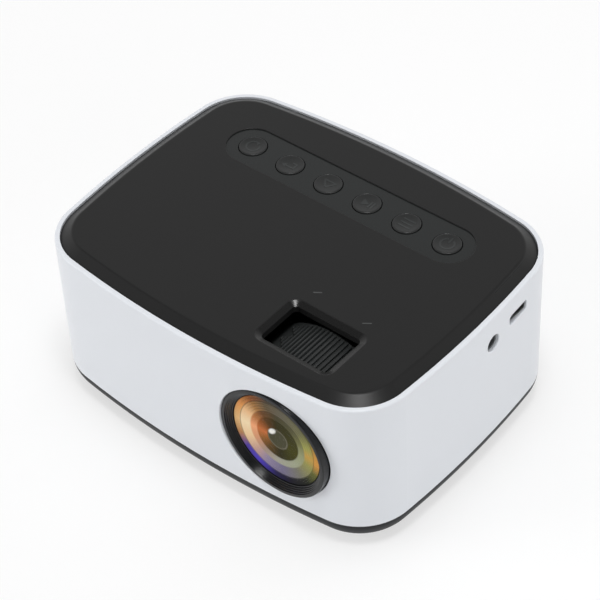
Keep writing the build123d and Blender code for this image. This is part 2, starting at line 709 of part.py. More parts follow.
def engine_housing():
    floor = ENGINE_FLOOR_Z - ENGINE_WALL
    box = plate(engine_outline(ENGINE_WALL), (floor, ENGINE_TOP_Z))
    box -= plate(engine_outline(0), (ENGINE_FLOOR_Z, ENGINE_TOP_Z))
    low_y = ENGINE_Y - ENGINE_HALF_Y
    high_y = ENGINE_Y + ENGINE_HALF_Y
    extras = []
    for x0, x1 in SHEETS.values():
        for rib in ((x0 - 0.9, x0 - 0.1), (x1 + 0.1, x1 + 0.9)):
            for y in ((low_y - 0.5, low_y + 1.2), (high_y - 1.2, high_y + 0.5)):
                extras.append(block(rib, y, (ENGINE_FLOOR_Z - 0.5, ENGINE_TOP_Z - 0.3)))
    for x, z in tube_screw_places():
        extras.append(rod_y(x, z, (ENGINE_FRONT_Y - 0.5, ENGINE_FRONT_Y + 2.0), 2.2))
    ear_z = (floor, floor + EAR_H)
    for x, y in ENGINE_EARS:
        extras.append(column(x, y, ear_z, EAR_R))
    front_ears = ENGINE_EARS[:2]
    web = EAR_R - 0.6
    for x, y in front_ears:
        extras.append(block((x - web, x + web), (y, ENGINE_FRONT_Y - 1.0), ear_z))
    back_x, back_y = ENGINE_EARS[2]
    extras.append(block((back_x - web, back_x + web), (high_y + 1.0, back_y), ear_z))
    slant_x, slant_y = ENGINE_EARS[3]
    bridge = Rot(0, 0, 45) * Pos(-2.6, 0, 0) * Box(5.2, 2 * web, EAR_H)
    extras.append(Pos(slant_x, slant_y, floor + EAR_H / 2) * bridge)
    box += extras
    middle = (ENGINE_Y - 12, ENGINE_Y + 12)
    cuts = [block((ENGINE_LEFT_X - ENGINE_WALL, ENGINE_LEFT_X), middle, (LENS_Z - 12, LENS_Z + 12))]
    cuts.append(rod_y(LENS_X, LENS_Z, (-15, ENGINE_FRONT_Y), TUBE_BORE_R - 0.8))
    cuts += [column(x, y, (5, 20), 1.1) for x, y in ENGINE_EARS]
    cuts += [rod_y(x, z, (-15, ENGINE_FRONT_Y + 2.0), 0.95) for x, z in tube_screw_places()]
    return box - cuts


def engine_lid():
    lid = plate(engine_outline(ENGINE_WALL), (ENGINE_TOP_Z, ENGINE_TOP_Z + 1.0))
    return lid - block((0.2, 1.1), (3.0, 18.0), (ENGINE_TOP_Z, ENGINE_TOP_Z + 1.0))


def sheet(name):
    low_y = ENGINE_Y - ENGINE_HALF_Y + 0.1
    high_y = ENGINE_Y + ENGINE_HALF_Y - 0.1
    return block(SHEETS[name], (low_y, high_y), (ENGINE_FLOOR_Z, ENGINE_TOP_Z - 0.1))


def fold_mirror():
    glass = Box(38, MIRROR_T, 2 * ENGINE_HALF_Z - 0.1)
    return Pos(LENS_X, ENGINE_Y, LENS_Z - 0.05) * Rot(0, 0, -45) * Pos(0, MIRROR_T / 2, 0) * glass


def heatsink():
    y = (-6, 26)
    z = (12.6, 42.6)
    fins = 8
    fin_t = 1.2
    left = ENGINE_LEFT_X - ENGINE_WALL
    sink = block((left - 3.5, left), y, z)
    pitch = (z[1] - z[0] - fin_t) / (fins - 1)
    for i in range(fins):
        low = z[0] + i * pitch
        sink += block((-46, left - 3), y, (low, low + fin_t))
    return sink


def led_board():
    left = ENGINE_LEFT_X - ENGINE_WALL
    return block((left, left + 1.4), (ENGINE_Y - 10, ENGINE_Y + 10), (LENS_Z - 10, LENS_Z + 10))


def led_chip():
    low = ENGINE_LEFT_X - ENGINE_WALL + 1.4
    return block((low, low + 0.8), (ENGINE_Y - 4.5, ENGINE_Y + 4.5), (LENS_Z - 4.5, LENS_Z + 4.5))


def reflector():
    low = ENGINE_LEFT_X - ENGINE_WALL + 1.4
    high = SHEETS["heat_glass"][0] - 1.2

    def funnel(thin):
        mouths = []
        for x, half_y, half_z in ((low, 6.5, 6.5), (high, ENGINE_HALF_Y, ENGINE_HALF_Z)):
            plane = Plane(origin=(x, ENGINE_Y, LENS_Z), x_dir=(0, 1, 0), z_dir=(1, 0, 0))
            mouths.append(plane * Rectangle(2 * (half_y - thin), 2 * (half_z - thin)))
        return loft(mouths, ruled=True)

    return funnel(0) - funnel(0.8)


# Lens group
def lens_bezel():
    profile = [(BEZEL_R, BEZEL_FRONT_Y + 0.4), (BEZEL_R - 0.4, BEZEL_FRONT_Y), (15.6, BEZEL_FRONT_Y)]
    profile += [(14.5, BEZEL_FRONT_Y + 1.5), (NOSE_R + 0.1, BEZEL_FRONT_Y + 1.7)]
    profile += [(NOSE_R + 0.1, TUBE_FRONT_Y), (TUBE_R + 0.02, TUBE_FRONT_Y), (TUBE_R + 0.02, BEZEL_BACK_Y)]
    profile += [(18.2, BEZEL_BACK_Y), (18.2, BEZEL_BACK_Y - 1.4), (BEZEL_R, BEZEL_BACK_Y - 1.4)]
    return turned(profile)


def lens_tube():
    collar_r = 18.0
    collar_y = RING_BACK_Y + 0.1
    profile = [(TUBE_BORE_R, TUBE_FRONT_Y), (TUBE_R, TUBE_FRONT_Y), (TUBE_R, collar_y)]
    profile += [(collar_r, collar_y), (collar_r, collar_y + 2), (TUBE_R, collar_y + 2)]
    profile += [(TUBE_R, TUBE_BACK_Y), (TUBE_BORE_R, TUBE_BACK_Y)]
    tube = turned(profile)
    flange = block((8.4, 45.0), (TUBE_BACK_Y - 2, TUBE_BACK_Y), (12.0, 43.8))
    tube += flange - rod_y(LENS_X, LENS_Z, (-12, -9), TUBE_BORE_R)
    slot_r = PIN_R + SLOT_PLAY
    slot_y = (PIN_Y - FOCUS_MAX_DEG * ADVANCE_PER_DEG, PIN_Y - FOCUS_MIN_DEG * ADVANCE_PER_DEG)
    cuts = [rod_y(x, z, (-13, -9), 1.1) for x, z in tube_screw_places()]
    for angle in PIN_ANGLES:
        slot = Pos(0, (slot_y[0] + slot_y[1]) / 2, 16) * Box(2 * slot_r, slot_y[1] - slot_y[0], 6)
        cuts.append(Pos(LENS_X, 0, LENS_Z) * Rot(0, -angle, 0) * slot)
        cuts += [radial_pin(angle, y, (13, 19), slot_r) for y in slot_y]
    return tube - cuts


def tube_screws():
    head = TUBE_BACK_Y - 2
    screws = []
    for x, z in tube_screw_places():
        screws.append(rod_y(x, z, (head - 1.3, head), 1.8) + rod_y(x, z, (head - 1, -6.8), 0.9))
    return joined(screws)


def lens_barrel():
    front_r, middle_r, rear_r = [r + SEAT_GAP for r in (FRONT_LENS_R, MIDDLE_LENS_R, REAR_LENS_R)]
    shoulder_y = -35.9
    back_y = -14.0
    profile = [(NOSE_R, BARREL_FRONT_Y), (NOSE_R, shoulder_y), (BARREL_R, shoulder_y), (BARREL_R, back_y)]
    profile += [(rear_r, back_y), (rear_r, REAR_LENS_Y[0]), (middle_r, REAR_LENS_Y[0])]
    profile += [(middle_r, MIDDLE_LENS_Y[0]), (10.0, MIDDLE_LENS_Y[0]), (10.0, FRONT_LENS_Y[1])]
    profile += [(front_r, FRONT_LENS_Y[1]), (front_r, BARREL_FRONT_Y)]
    barrel = turned(profile)
    return barrel + [radial_pin(angle, PIN_Y, (13, 18.2), PIN_R) for angle in PIN_ANGLES]


def front_lens():
    return lens(FRONT_LENS_R, FRONT_LENS_Y, 42.0, -60.0)


def middle_lens():
    return lens(MIDDLE_LENS_R, MIDDLE_LENS_Y, -50.0, 40.0)


def rear_lens():
    return lens(REAR_LENS_R, REAR_LENS_Y, 0, 30.0)


def focus_ring():
    span = (RING_FRONT_Y, RING_BACK_Y)
    ring = rod_y(LENS_X, LENS_Z, span, RING_R) - rod_y(LENS_X, LENS_Z, span, RING_BORE_R)
    rib_root = 0.6
    ribs = []
    for i in range(RIB_COUNT):
        rib = Pos(0, (RIB_Y[0] + RIB_Y[1]) / 2, (RING_R + RIB_R - rib_root) / 2)
        rib *= Box(RIB_WIDTH, RIB_Y[1] - RIB_Y[0], RIB_R - RING_R + rib_root)
        ribs.append(Pos(LENS_X, 0, LENS_Z) * Rot(0, FIRST_RIB_DEG + RIB_PITCH_DEG * i, 0) * rib)
    ring += ribs
    cuts = []
    steps = 25
    for angle in PIN_ANGLES:
        for step in range(steps + 1):
            turn = FOCUS_MIN_DEG + (FOCUS_MAX_DEG - FOCUS_MIN_DEG) * step / steps
            y = PIN_Y - ADVANCE_PER_DEG * turn
            cuts.append(radial_pin(angle - turn, y, (15.5, 18.4), PIN_R + SLOT_PLAY))
    return ring - cuts


# Fan, speaker and leads
def fan_frame():
    half = FAN_SIZE / 2
    across = (FAN_X - half, FAN_X + half)
    frame = block(across, (FAN_FRONT_Y, FAN_BACK_Y), (FAN_Z - half, FAN_Z + half))
    frame -= rod_y(FAN_X, FAN_Z, (FAN_FRONT_Y, FAN_BACK_Y), half - 1.0)
    strut_y = (FAN_FRONT_Y, FAN_FRONT_Y + 1.2)
    struts = [rod_y(FAN_X, FAN_Z, strut_y, 5.5)]
    for angle in (30, 150, 270):
        arm = Pos(9.5, 0, 0) * Box(10, 1.2, 2)
        struts.append(Pos(FAN_X, FAN_FRONT_Y + 0.6, FAN_Z) * Rot(0, angle, 0) * arm)
    frame += struts
    return frame - rod_y(FAN_X, FAN_Z, strut_y, FAN_SHAFT_R + 0.05)


def fan_rotor():
    blades = 7
    rotor = rod_y(FAN_X, FAN_Z, (FAN_FRONT_Y + 1.6, FAN_BACK_Y - 0.4), HUB_R)
    rotor += rod_y(FAN_X, FAN_Z, (FAN_FRONT_Y + 0.2, FAN_FRONT_Y + 2.0), FAN_SHAFT_R)
    for i in range(blades):
        blade = Pos(9.9, 0, 0) * Rot(35, 0, 0) * Box(7.4, 0.8, 5.2)
        rotor += Pos(FAN_X, FAN_FRONT_Y + 3.7, FAN_Z) * Rot(0, 360 / blades * i, 0) * blade
    return rotor


def speaker_frame():
    low, high = SPEAKER_Y
    frame = rod_y(SPEAKER_X, SPEAKER_Z, SPEAKER_Y, SPEAKER_R)
    frame -= rod_y(SPEAKER_X, SPEAKER_Z, (low + 0.8, high), CONE_R + 0.1)
    return frame + rod_y(SPEAKER_X, SPEAKER_Z, (low - 3.0, low + 0.2), MAGNET_R)


def speaker_cone():
    height = 1.4
    middle_y = SPEAKER_Y[0] + 0.8 + height / 2
    return Pos(SPEAKER_X, middle_y, SPEAKER_Z) * Rot(-90, 0, 0) * Cone(5.0, CONE_R, height)


def lead(points):
    path = FilletPolyline(*points, radius=1.5)
    start = Plane(origin=path @ 0, z_dir=path % 0)
    return sweep(start * Circle(WIRE_R), path=path)


def fan_lead():
    y = (FAN_FRONT_Y + FAN_BACK_Y) / 2
    top = FAN_Z + FAN_SIZE / 2
    return lead(((-18, y, top), (-18, y, 38), (-13, 34, 41), (-13, 34, BOARD_Z)))


def speaker_lead():
    return lead(((34, 33, SPEAKER_Z + 8.2), (34, 33, 34), (33, 30, 38), (33, 30, BOARD_Z)))


def led_lead():
    return lead(((-34, -6, 20), (-34, -12, 20), (-34, -16, 26), (-34, -16, BOARD_Z)))


def lcd_flex():
    return block((0.5, 0.8), (3.5, 17.5), (ENGINE_TOP_Z - 0.1, BOARD_Z))


def tripod_insert():
    z = (FOOT_H, INSERT_TOP_Z)
    return column(0, 0, z, INSERT_R) - column(0, 0, z, TRIPOD_BORE_R)


def nodes():
    pieces = {
        "body_shell": body_shell(),
        "top_cover": top_cover(),
        "base_shell": base_shell(),
        "rubber_feet": rubber_feet(),
        "case_screws": case_screws(),
        "vent_mesh_left": vent_mesh(-1),
        "vent_mesh_right": vent_mesh(1),
        "key_switches": key_switches(),
        "main_board": main_board(),
        "main_chip": main_chip(),
        "board_screws": board_screws(),
        "usb_shell": usb_shell(),
        "usb_tongue": usb_tongue(),
        "usb_contacts": usb_contacts(),
        "audio_jack": audio_jack(),
        "av_jack": av_jack(),
        "micro_usb_shell": micro_usb_shell(),
        "micro_usb_tongue": micro_usb_tongue(),
        "ir_receiver": ir_receiver(),
        "engine_housing": engine_housing(),
        "engine_lid": engine_lid(),
        "engine_screws": engine_screws(),
        "fold_mirror": fold_mirror(),
        "heatsink": heatsink(),
        "led_board": led_board(),
        "led_chip": led_chip(),
        "reflector": reflector(),
        "lens_bezel": lens_bezel(),
        "lens_tube": lens_tube(),
        "tube_screws": tube_screws(),
        "lens_barrel": lens_barrel(),
        "front_lens": front_lens(),
        "middle_lens": middle_lens(),
        "rear_lens": rear_lens(),
        "focus_ring": focus_ring(),
        "fan_frame": fan_frame(),
        "fan_rotor": fan_rotor(),
        "speaker_frame": speaker_frame(),
        "speaker_cone": speaker_cone(),
        "fan_lead": fan_lead(),
        "speaker_lead": speaker_lead(),
        "led_lead": led_lead(),
        "lcd_flex": lcd_flex(),
        "tripod_insert": tripod_insert(),
    }
    for name in SHEETS:
        pieces[name] = sheet(name)
    for number, x in enumerate(key_places(), start=1):
        pieces[f"key_{number}"] = key_cap(x)
    for number, x in enumerate(key_places(), start=1):
        pieces[f"key_plunger_{number}"] = key_plunger(x)
    return pieces


os.makedirs("parts", exist_ok=True)
for name, shape in nodes().items():
    export_step(shape, f"parts/{name}.step")
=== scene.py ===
from math import cos, pi, radians, sin

import bmesh
import bpy
from mathutils import Matrix, Vector


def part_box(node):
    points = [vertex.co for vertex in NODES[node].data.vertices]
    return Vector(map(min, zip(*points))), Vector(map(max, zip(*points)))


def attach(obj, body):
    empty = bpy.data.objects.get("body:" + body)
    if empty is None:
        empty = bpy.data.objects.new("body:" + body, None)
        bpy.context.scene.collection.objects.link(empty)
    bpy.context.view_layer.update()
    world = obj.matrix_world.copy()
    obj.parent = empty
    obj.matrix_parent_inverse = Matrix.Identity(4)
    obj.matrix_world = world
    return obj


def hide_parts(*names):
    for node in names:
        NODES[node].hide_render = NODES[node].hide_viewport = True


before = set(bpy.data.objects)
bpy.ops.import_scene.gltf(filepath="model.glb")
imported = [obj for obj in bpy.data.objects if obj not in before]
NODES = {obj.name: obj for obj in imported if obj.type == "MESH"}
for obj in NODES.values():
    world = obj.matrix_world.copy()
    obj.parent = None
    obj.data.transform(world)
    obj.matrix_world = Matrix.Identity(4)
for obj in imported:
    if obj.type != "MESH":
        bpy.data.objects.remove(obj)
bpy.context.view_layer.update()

bl_info = {
    "name": "Mini projector looks",
    "version": (1, 1, 0),
    "blender": (4, 5, 0),
    "location": "View3D > Sidebar > Projector",
    "description": "Finishes and fine pieces for a small desk projector, built round its packed model",
    "category": "Object",
}

MM = 0.001
X_AXIS, Y_AXIS, Z_AXIS = Vector((1, 0, 0)), Vector((0, 1, 0)), Vector((0, 0, 1))
KEYS = ["key_%d" % number for number in range(1, 7)]
PLUNGERS = ["key_plunger_%d" % number for number in range(1, 7)]

# Widths in mm of the patterns that materials share
GLOSS_CLOUD = 25
TARNISH_CLOUD = 4
TRACK_CELL = 2.5
FIBRE_TUFT = 0.5
LENS_RIPPLE = 6


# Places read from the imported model
def low(node):
    return Vector(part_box(node)[0])


def high(node):
    return Vector(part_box(node)[1])


def middle(node):
    return (low(node) + high(node)) / 2


BEZEL_MIDDLE = middle("lens_bezel")
LENS_CENTRE = Vector((BEZEL_MIDDLE.x, 0, BEZEL_MIDDLE.z))
BEZEL_FACE_Y = low("lens_bezel").y
BEZEL_BACK_Y = high("lens_bezel").y
GLASS_R = high("front_lens").x - LENS_CENTRE.x
GLASS_APEX_Y = low("front_lens").y
BARREL_FACE_Y = low("lens_barrel").y
COVER_TOP_Z = high("top_cover").z


# sRGB hex to the linear values that the shaders take
def linear(text):
    channels = [int(text[i:i + 2], 16) / 255 for i in (1, 3, 5)]
    return tuple(c / 12.92 if c <= 0.04045 else ((c + 0.055) / 1.055) ** 2.4 for c in channels)


def rgba(text):
    return (*linear(text), 1.0)


# Adds a shader node with its settings and ramp stops, and links or sets its inputs
def add(tree, kind, settings=None, inputs=None, stops=None):
    node = tree.nodes.new("ShaderNode" + kind)
    for name, value in (settings or {}).items():
        setattr(node, name, value)
    if stops:
        elements = node.color_ramp.elements
        elements[0].position, elements[0].color = stops[0][0], rgba(stops[0][1])
        elements[-1].position, elements[-1].color = stops[-1][0], rgba(stops[-1][1])
        for place, colour in stops[1:-1]:
            elements.new(place).color = rgba(colour)
    for name, value in (inputs or {}).items():
        if isinstance(value, bpy.types.NodeSocket):
            tree.links.new(value, node.inputs[name])
        else:
            node.inputs[name].default_value = value
    return node


def new_material(name, shader_inputs):
    material = bpy.data.materials.new(name)
    material.use_nodes = True
    tree = material.node_tree
    tree.nodes.clear()
    shader = add(tree, "BsdfPrincipled", inputs=shader_inputs)
    add(tree, "OutputMaterial", inputs={"Surface": shader.outputs["BSDF"]})
    return material, tree, shader


def shader_of(material):
    return next(node for node in material.node_tree.nodes if node.type == "BSDF_PRINCIPLED")


# Moulded plastic: an even colour, a fine grain from the tool and slightly uneven gloss. Grain is
# the width of one bump and relief its height, in mm, and drift is how far the roughness strays.
def moulded(name, colour, roughness, grain, relief, drift=0.04, shine=0.5):
    base = rgba(colour) if isinstance(colour, str) else (*colour, 1.0)
    material, tree, shader = new_material(
        name, {"Base Color": base, "Roughness": roughness, "Specular IOR Level": shine})
    place = add(tree, "TexCoord").outputs["Object"]
    grains = add(tree, "TexNoise", inputs={
        "Vector": place, "Scale": 1 / (grain * MM), "Detail": 3.0})
    bump = add(tree, "Bump", inputs={"Distance": relief * MM, "Height": grains.outputs["Fac"]})
    tree.links.new(bump.outputs["Normal"], shader.inputs["Normal"])
    cloud = add(tree, "TexNoise", inputs={
        "Vector": place, "Scale": 1 / (GLOSS_CLOUD * MM), "Detail": 2.0})
    spread = add(tree, "MapRange", {"interpolation_type": "SMOOTHSTEP"}, {
        "Value": cloud.outputs["Fac"], "From Min": 0.1, "From Max": 0.9,
        "To Min": roughness - drift, "To Max": roughness + drift})
    tree.links.new(spread.outputs["Result"], shader.inputs["Roughness"])
    return material


# Bare or plated metal: fine lines left by rolling, drawing or turning, stretched along one axis.
# Line is the width of one line and relief its height, in mm.
def metal(name, colour, tarnish, roughness, line=0.15, stretch=(1, 1, 1), relief=0.002):
    material, tree, shader = new_material(
        name, {"Base Color": rgba(colour), "Metallic": 1.0, "Roughness": roughness})
    place = add(tree, "TexCoord").outputs["Object"]
    along = add(tree, "Mapping", inputs={"Vector": place, "Scale": stretch})
    lines = add(tree, "TexNoise", inputs={
        "Vector": along.outputs["Vector"], "Scale": 1 / (line * MM), "Detail": 4.0})
    bump = add(tree, "Bump", inputs={"Distance": relief * MM, "Height": lines.outputs["Fac"]})
    tree.links.new(bump.outputs["Normal"], shader.inputs["Normal"])
    cloud = add(tree, "TexNoise", inputs={
        "Vector": place, "Scale": 1 / (TARNISH_CLOUD * MM), "Detail": 3.0})
    tone = add(tree, "ValToRGB", stops=[(0.35, tarnish), (0.65, colour)], inputs={
        "Fac": cloud.outputs["Fac"]})
    tree.links.new(tone.outputs["Color"], shader.inputs["Base Color"])
    spread = add(tree, "MapRange", inputs={
        "Value": lines.outputs["Fac"], "To Min": roughness - 0.06, "To Max": roughness + 0.08})
    tree.links.new(spread.outputs["Result"], shader.inputs["Roughness"])
    return material


# Printed board: lacquer over copper tracks that show as a slightly raised, lighter maze
def lacquered_board(name, lacquer, track):
    material, tree, shader = new_material(name, {"Roughness": 0.35, "Coat Weight": 0.3})
    place = add(tree, "TexCoord").outputs["Object"]
    cells = add(tree, "TexVoronoi", {"distance": "CHEBYCHEV"}, {
        "Vector": place, "Scale": 1 / (TRACK_CELL * MM)})
    edge = add(tree, "ValToRGB", stops=[(0.42, lacquer), (0.5, track)], inputs={
        "Fac": cells.outputs["Distance"]})
    tree.links.new(edge.outputs["Color"], shader.inputs["Base Color"])
    bump = add(tree, "Bump", inputs={
        "Distance": 0.03 * MM, "Height": cells.outputs["Distance"]})
    tree.links.new(bump.outputs["Normal"], shader.inputs["Normal"])
    return material


# Pulp paper: felted fibres give it a soft, cloudy, matt face
def pulp_paper(name, dark, light):
    material, tree, shader = new_material(name, {"Roughness": 0.9})
    place = add(tree, "TexCoord").outputs["Object"]
    fibres = add(tree, "TexNoise", inputs={
        "Vector": place, "Scale": 1 / (FIBRE_TUFT * MM), "Detail": 6.0, "Distortion": 1.5})
    tone = add(tree, "ValToRGB", stops=[(0.3, dark), (0.7, light)], inputs={
        "Fac": fibres.outputs["Fac"]})
    tree.links.new(tone.outputs["Color"], shader.inputs["Base Color"])
    bump = add(tree, "Bump", inputs={"Distance": 0.05 * MM, "Height": fibres.outputs["Fac"]})
    tree.links.new(bump.outputs["Normal"], shader.inputs["Normal"])
    return material


# Clear optical sheet or lens: see-through, with faint moulding ripples
def optical(name, tint, alpha, roughness=0.04, ior=1.5):
    material, tree, shader = new_material(
        name, {"Base Color": rgba(tint), "Roughness": roughness, "IOR": ior, "Alpha": alpha})
    place = add(tree, "TexCoord").outputs["Object"]
    ripples = add(tree, "TexNoise", inputs={
        "Vector": place, "Scale": 1 / (LENS_RIPPLE * MM), "Detail": 1.0})
    bump = add(tree, "Bump", inputs={"Distance": 0.01 * MM, "Height": ripples.outputs["Fac"]})
    tree.links.new(bump.outputs["Normal"], shader.inputs["Normal"])
    return material


# Places measured from the lens axis, as a whole and along each axis, and the distance from it
def round_the_lens(tree):
    place = add(tree, "TexCoord").outputs["Object"]
    centred = add(tree, "Mapping", inputs={"Vector": place, "Location": -LENS_CENTRE})
    parts = add(tree, "SeparateXYZ", inputs={"Vector": centred.outputs["Vector"]}).outputs
    across = add(tree, "CombineXYZ", inputs={"X": parts["X"], "Z": parts["Z"]})
    radius = add(tree, "VectorMath", {"operation": "LENGTH"}, {0: across.outputs["Vector"]})
    return centred.outputs["Vector"], parts, radius.outputs["Value"]


# One for the rays that a viewer sees: straight, in a reflection or through glass
def seen_rays(tree):
    path = add(tree, "LightPath").outputs
    seen = add(tree, "Math", {"operation": "MAXIMUM"}, {
        0: path["Is Camera Ray"], 1: path["Is Glossy Ray"]})
    seen = add(tree, "Math", {"operation": "MAXIMUM"}, {
        0: seen.outputs["Value"], 1: path["Is Transmission Ray"]})
    return seen.outputs["Value"]


def dress(material, *nodes):
    for node in nodes:
        mesh = NODES[node].data
        mesh.materials.clear()
        mesh.materials.append(material)


# Turns a bmesh into a piece that rides on a body
def piece(name, bm, material, body, replaces=(), sharpest=radians(35)):
    mesh = bpy.data.meshes.new(name)
    bm.to_mesh(mesh)
    bm.free()
    mesh.polygons.foreach_set("use_smooth", [True] * len(mesh.polygons))
    mesh.set_sharp_from_angle(angle=sharpest)
    mesh.materials.append(material)
    made = bpy.data.objects.new(name, mesh)
    bpy.context.collection.objects.link(made)
    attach(made, body)
    if replaces:
        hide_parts(*replaces)


# A piece turned about the lens axis, from pairs of radius and y
def turned(profile, closed=False, steps=128):
    bm = bmesh.new()
    verts = [bm.verts.new(LENS_CENTRE + X_AXIS * radius + Y_AXIS * y) for radius, y in profile]
    edges = [bm.edges.new(pair) for pair in zip(verts, verts[1:])]
    if closed:
        edges.append(bm.edges.new((verts[-1], verts[0])))
    bmesh.ops.spin(
        bm, geom=verts + edges, cent=LENS_CENTRE, axis=Y_AXIS, angle=2 * pi, steps=steps,
        use_merge=True, use_duplicate=False)
    bmesh.ops.remove_doubles(bm, verts=bm.verts, dist=1e-7)
    bmesh.ops.recalc_face_normals(bm, faces=bm.faces)
    return bm


# Rounds every edge that is sharper than the limit
def soften(bm, width, limit=radians(30), segments=3):
    edges = [edge for edge in bm.edges if edge.is_manifold and edge.calc_face_angle() > limit]
    bmesh.ops.bevel(
        bm, geom=edges, offset=width, offset_type="OFFSET", affect="EDGES", segments=segments,
        profile=0.5, material=-1, clamp_overlap=True)


def join(bm, other):
    mesh = bpy.data.meshes.new("joined")
    other.to_mesh(mesh)
    other.free()
    bm.from_mesh(mesh)
    bpy.data.meshes.remove(mesh)


class ProjectorCase(bpy.types.PropertyGroup):
    shell_colour: bpy.props.FloatVectorProperty(
        name="Sleeve", description="Colour of the white sleeve", default=linear("#DCDFE4"),
        size=3, subtype="COLOR")
    cover_colour: bpy.props.FloatVectorProperty(
        name="Cover", description="Colour of the top cover", default=linear("#1A1A1A"),
        size=3, subtype="COLOR")
    base_colour: bpy.props.FloatVectorProperty(
        name="Base", description="Colour of the base tray", default=linear("#1B1D20"),
        size=3, subtype="COLOR")
    # The keypad floor is painted a shade paler than the cover, a painted lift against the shade in its
    # recess
    keypad_painted_light_colour: bpy.props.FloatVectorProperty(
        name="Keypad", description="Colour of the smooth keypad floor",
        default=linear("#222424"), size=3, subtype="COLOR")
    # The caps are painted a little paler than the cover, a painted lift against the shade in their
    # dishes
    cap_painted_light_colour: bpy.props.FloatVectorProperty(
        name="Caps", description="Colour of the key caps", default=linear("#272828"),
        size=3, subtype="COLOR")


class ProjectorKeys(bpy.types.PropertyGroup):
    mark_size: bpy.props.FloatProperty(
        name="Mark size", description="Size of the marks against their drawn size",
        default=1.0, min=0.5, max=1.2)
    mark_height: bpy.props.FloatProperty(
        name="Marks", description="Height of the raised marks", default=0.05 * MM,
        unit="LENGTH", precision=5)


class ProjectorLens(bpy.types.PropertyGroup):
    # The cup carries the lens's painted reflections and painted shade
    cup_depth: bpy.props.FloatProperty(
        name="Cup", description="Depth of the cup with painted reflections behind the front glass",
        default=0.6 * MM, unit="LENGTH", precision=5)
    edge_round: bpy.props.FloatProperty(
        name="Bezel edge", description="Radius of the bezel's edges", default=0.3 * MM,
        unit="LENGTH", precision=5)
    rib_round: bpy.props.FloatProperty(
        name="Rib edge", description="Radius of the focus ring's ribs", default=0.16 * MM,
        unit="LENGTH", precision=5)


class ProjectorStage(bpy.types.PropertyGroup):
    azimuth: bpy.props.FloatProperty(
        name="Azimuth", description="Camera's turn round the case", default=radians(41.586),
        subtype="ANGLE")
    elevation: bpy.props.FloatProperty(
        name="Elevation", description="Camera's height above the horizon",
        default=radians(43.864), subtype="ANGLE")
    roll: bpy.props.FloatProperty(
        name="Roll", description="Camera's turn about its own axis", default=radians(-3.23),
        subtype="ANGLE")
    distance: bpy.props.FloatProperty(
        name="Distance", description="From the camera to the case", default=0.590,
        unit="LENGTH")
    focal: bpy.props.FloatProperty(
        name="Focal length", description="Camera lens in millimetres", default=133.0)
    floor_colour: bpy.props.FloatVectorProperty(
        name="Floor", description="Colour of the table", default=linear("#F4F4F4"), size=3,
        subtype="COLOR")


class PROJECTOR_OT_sleeve(bpy.types.Operator):
    """Finishes the white sleeve"""
    bl_idname = "projector.sleeve"
    bl_label = "Sleeve"

    def execute(self, context):
        settings = context.scene.projector_case
        # Glossy ABS from a polished tool: an almost even white with a broad, soft sheen
        white = moulded("glossy white ABS", settings.shell_colour, 0.3, 0.6, 0.0008, drift=0.02)
        dress(white, "body_shell")
        return {"FINISHED"}


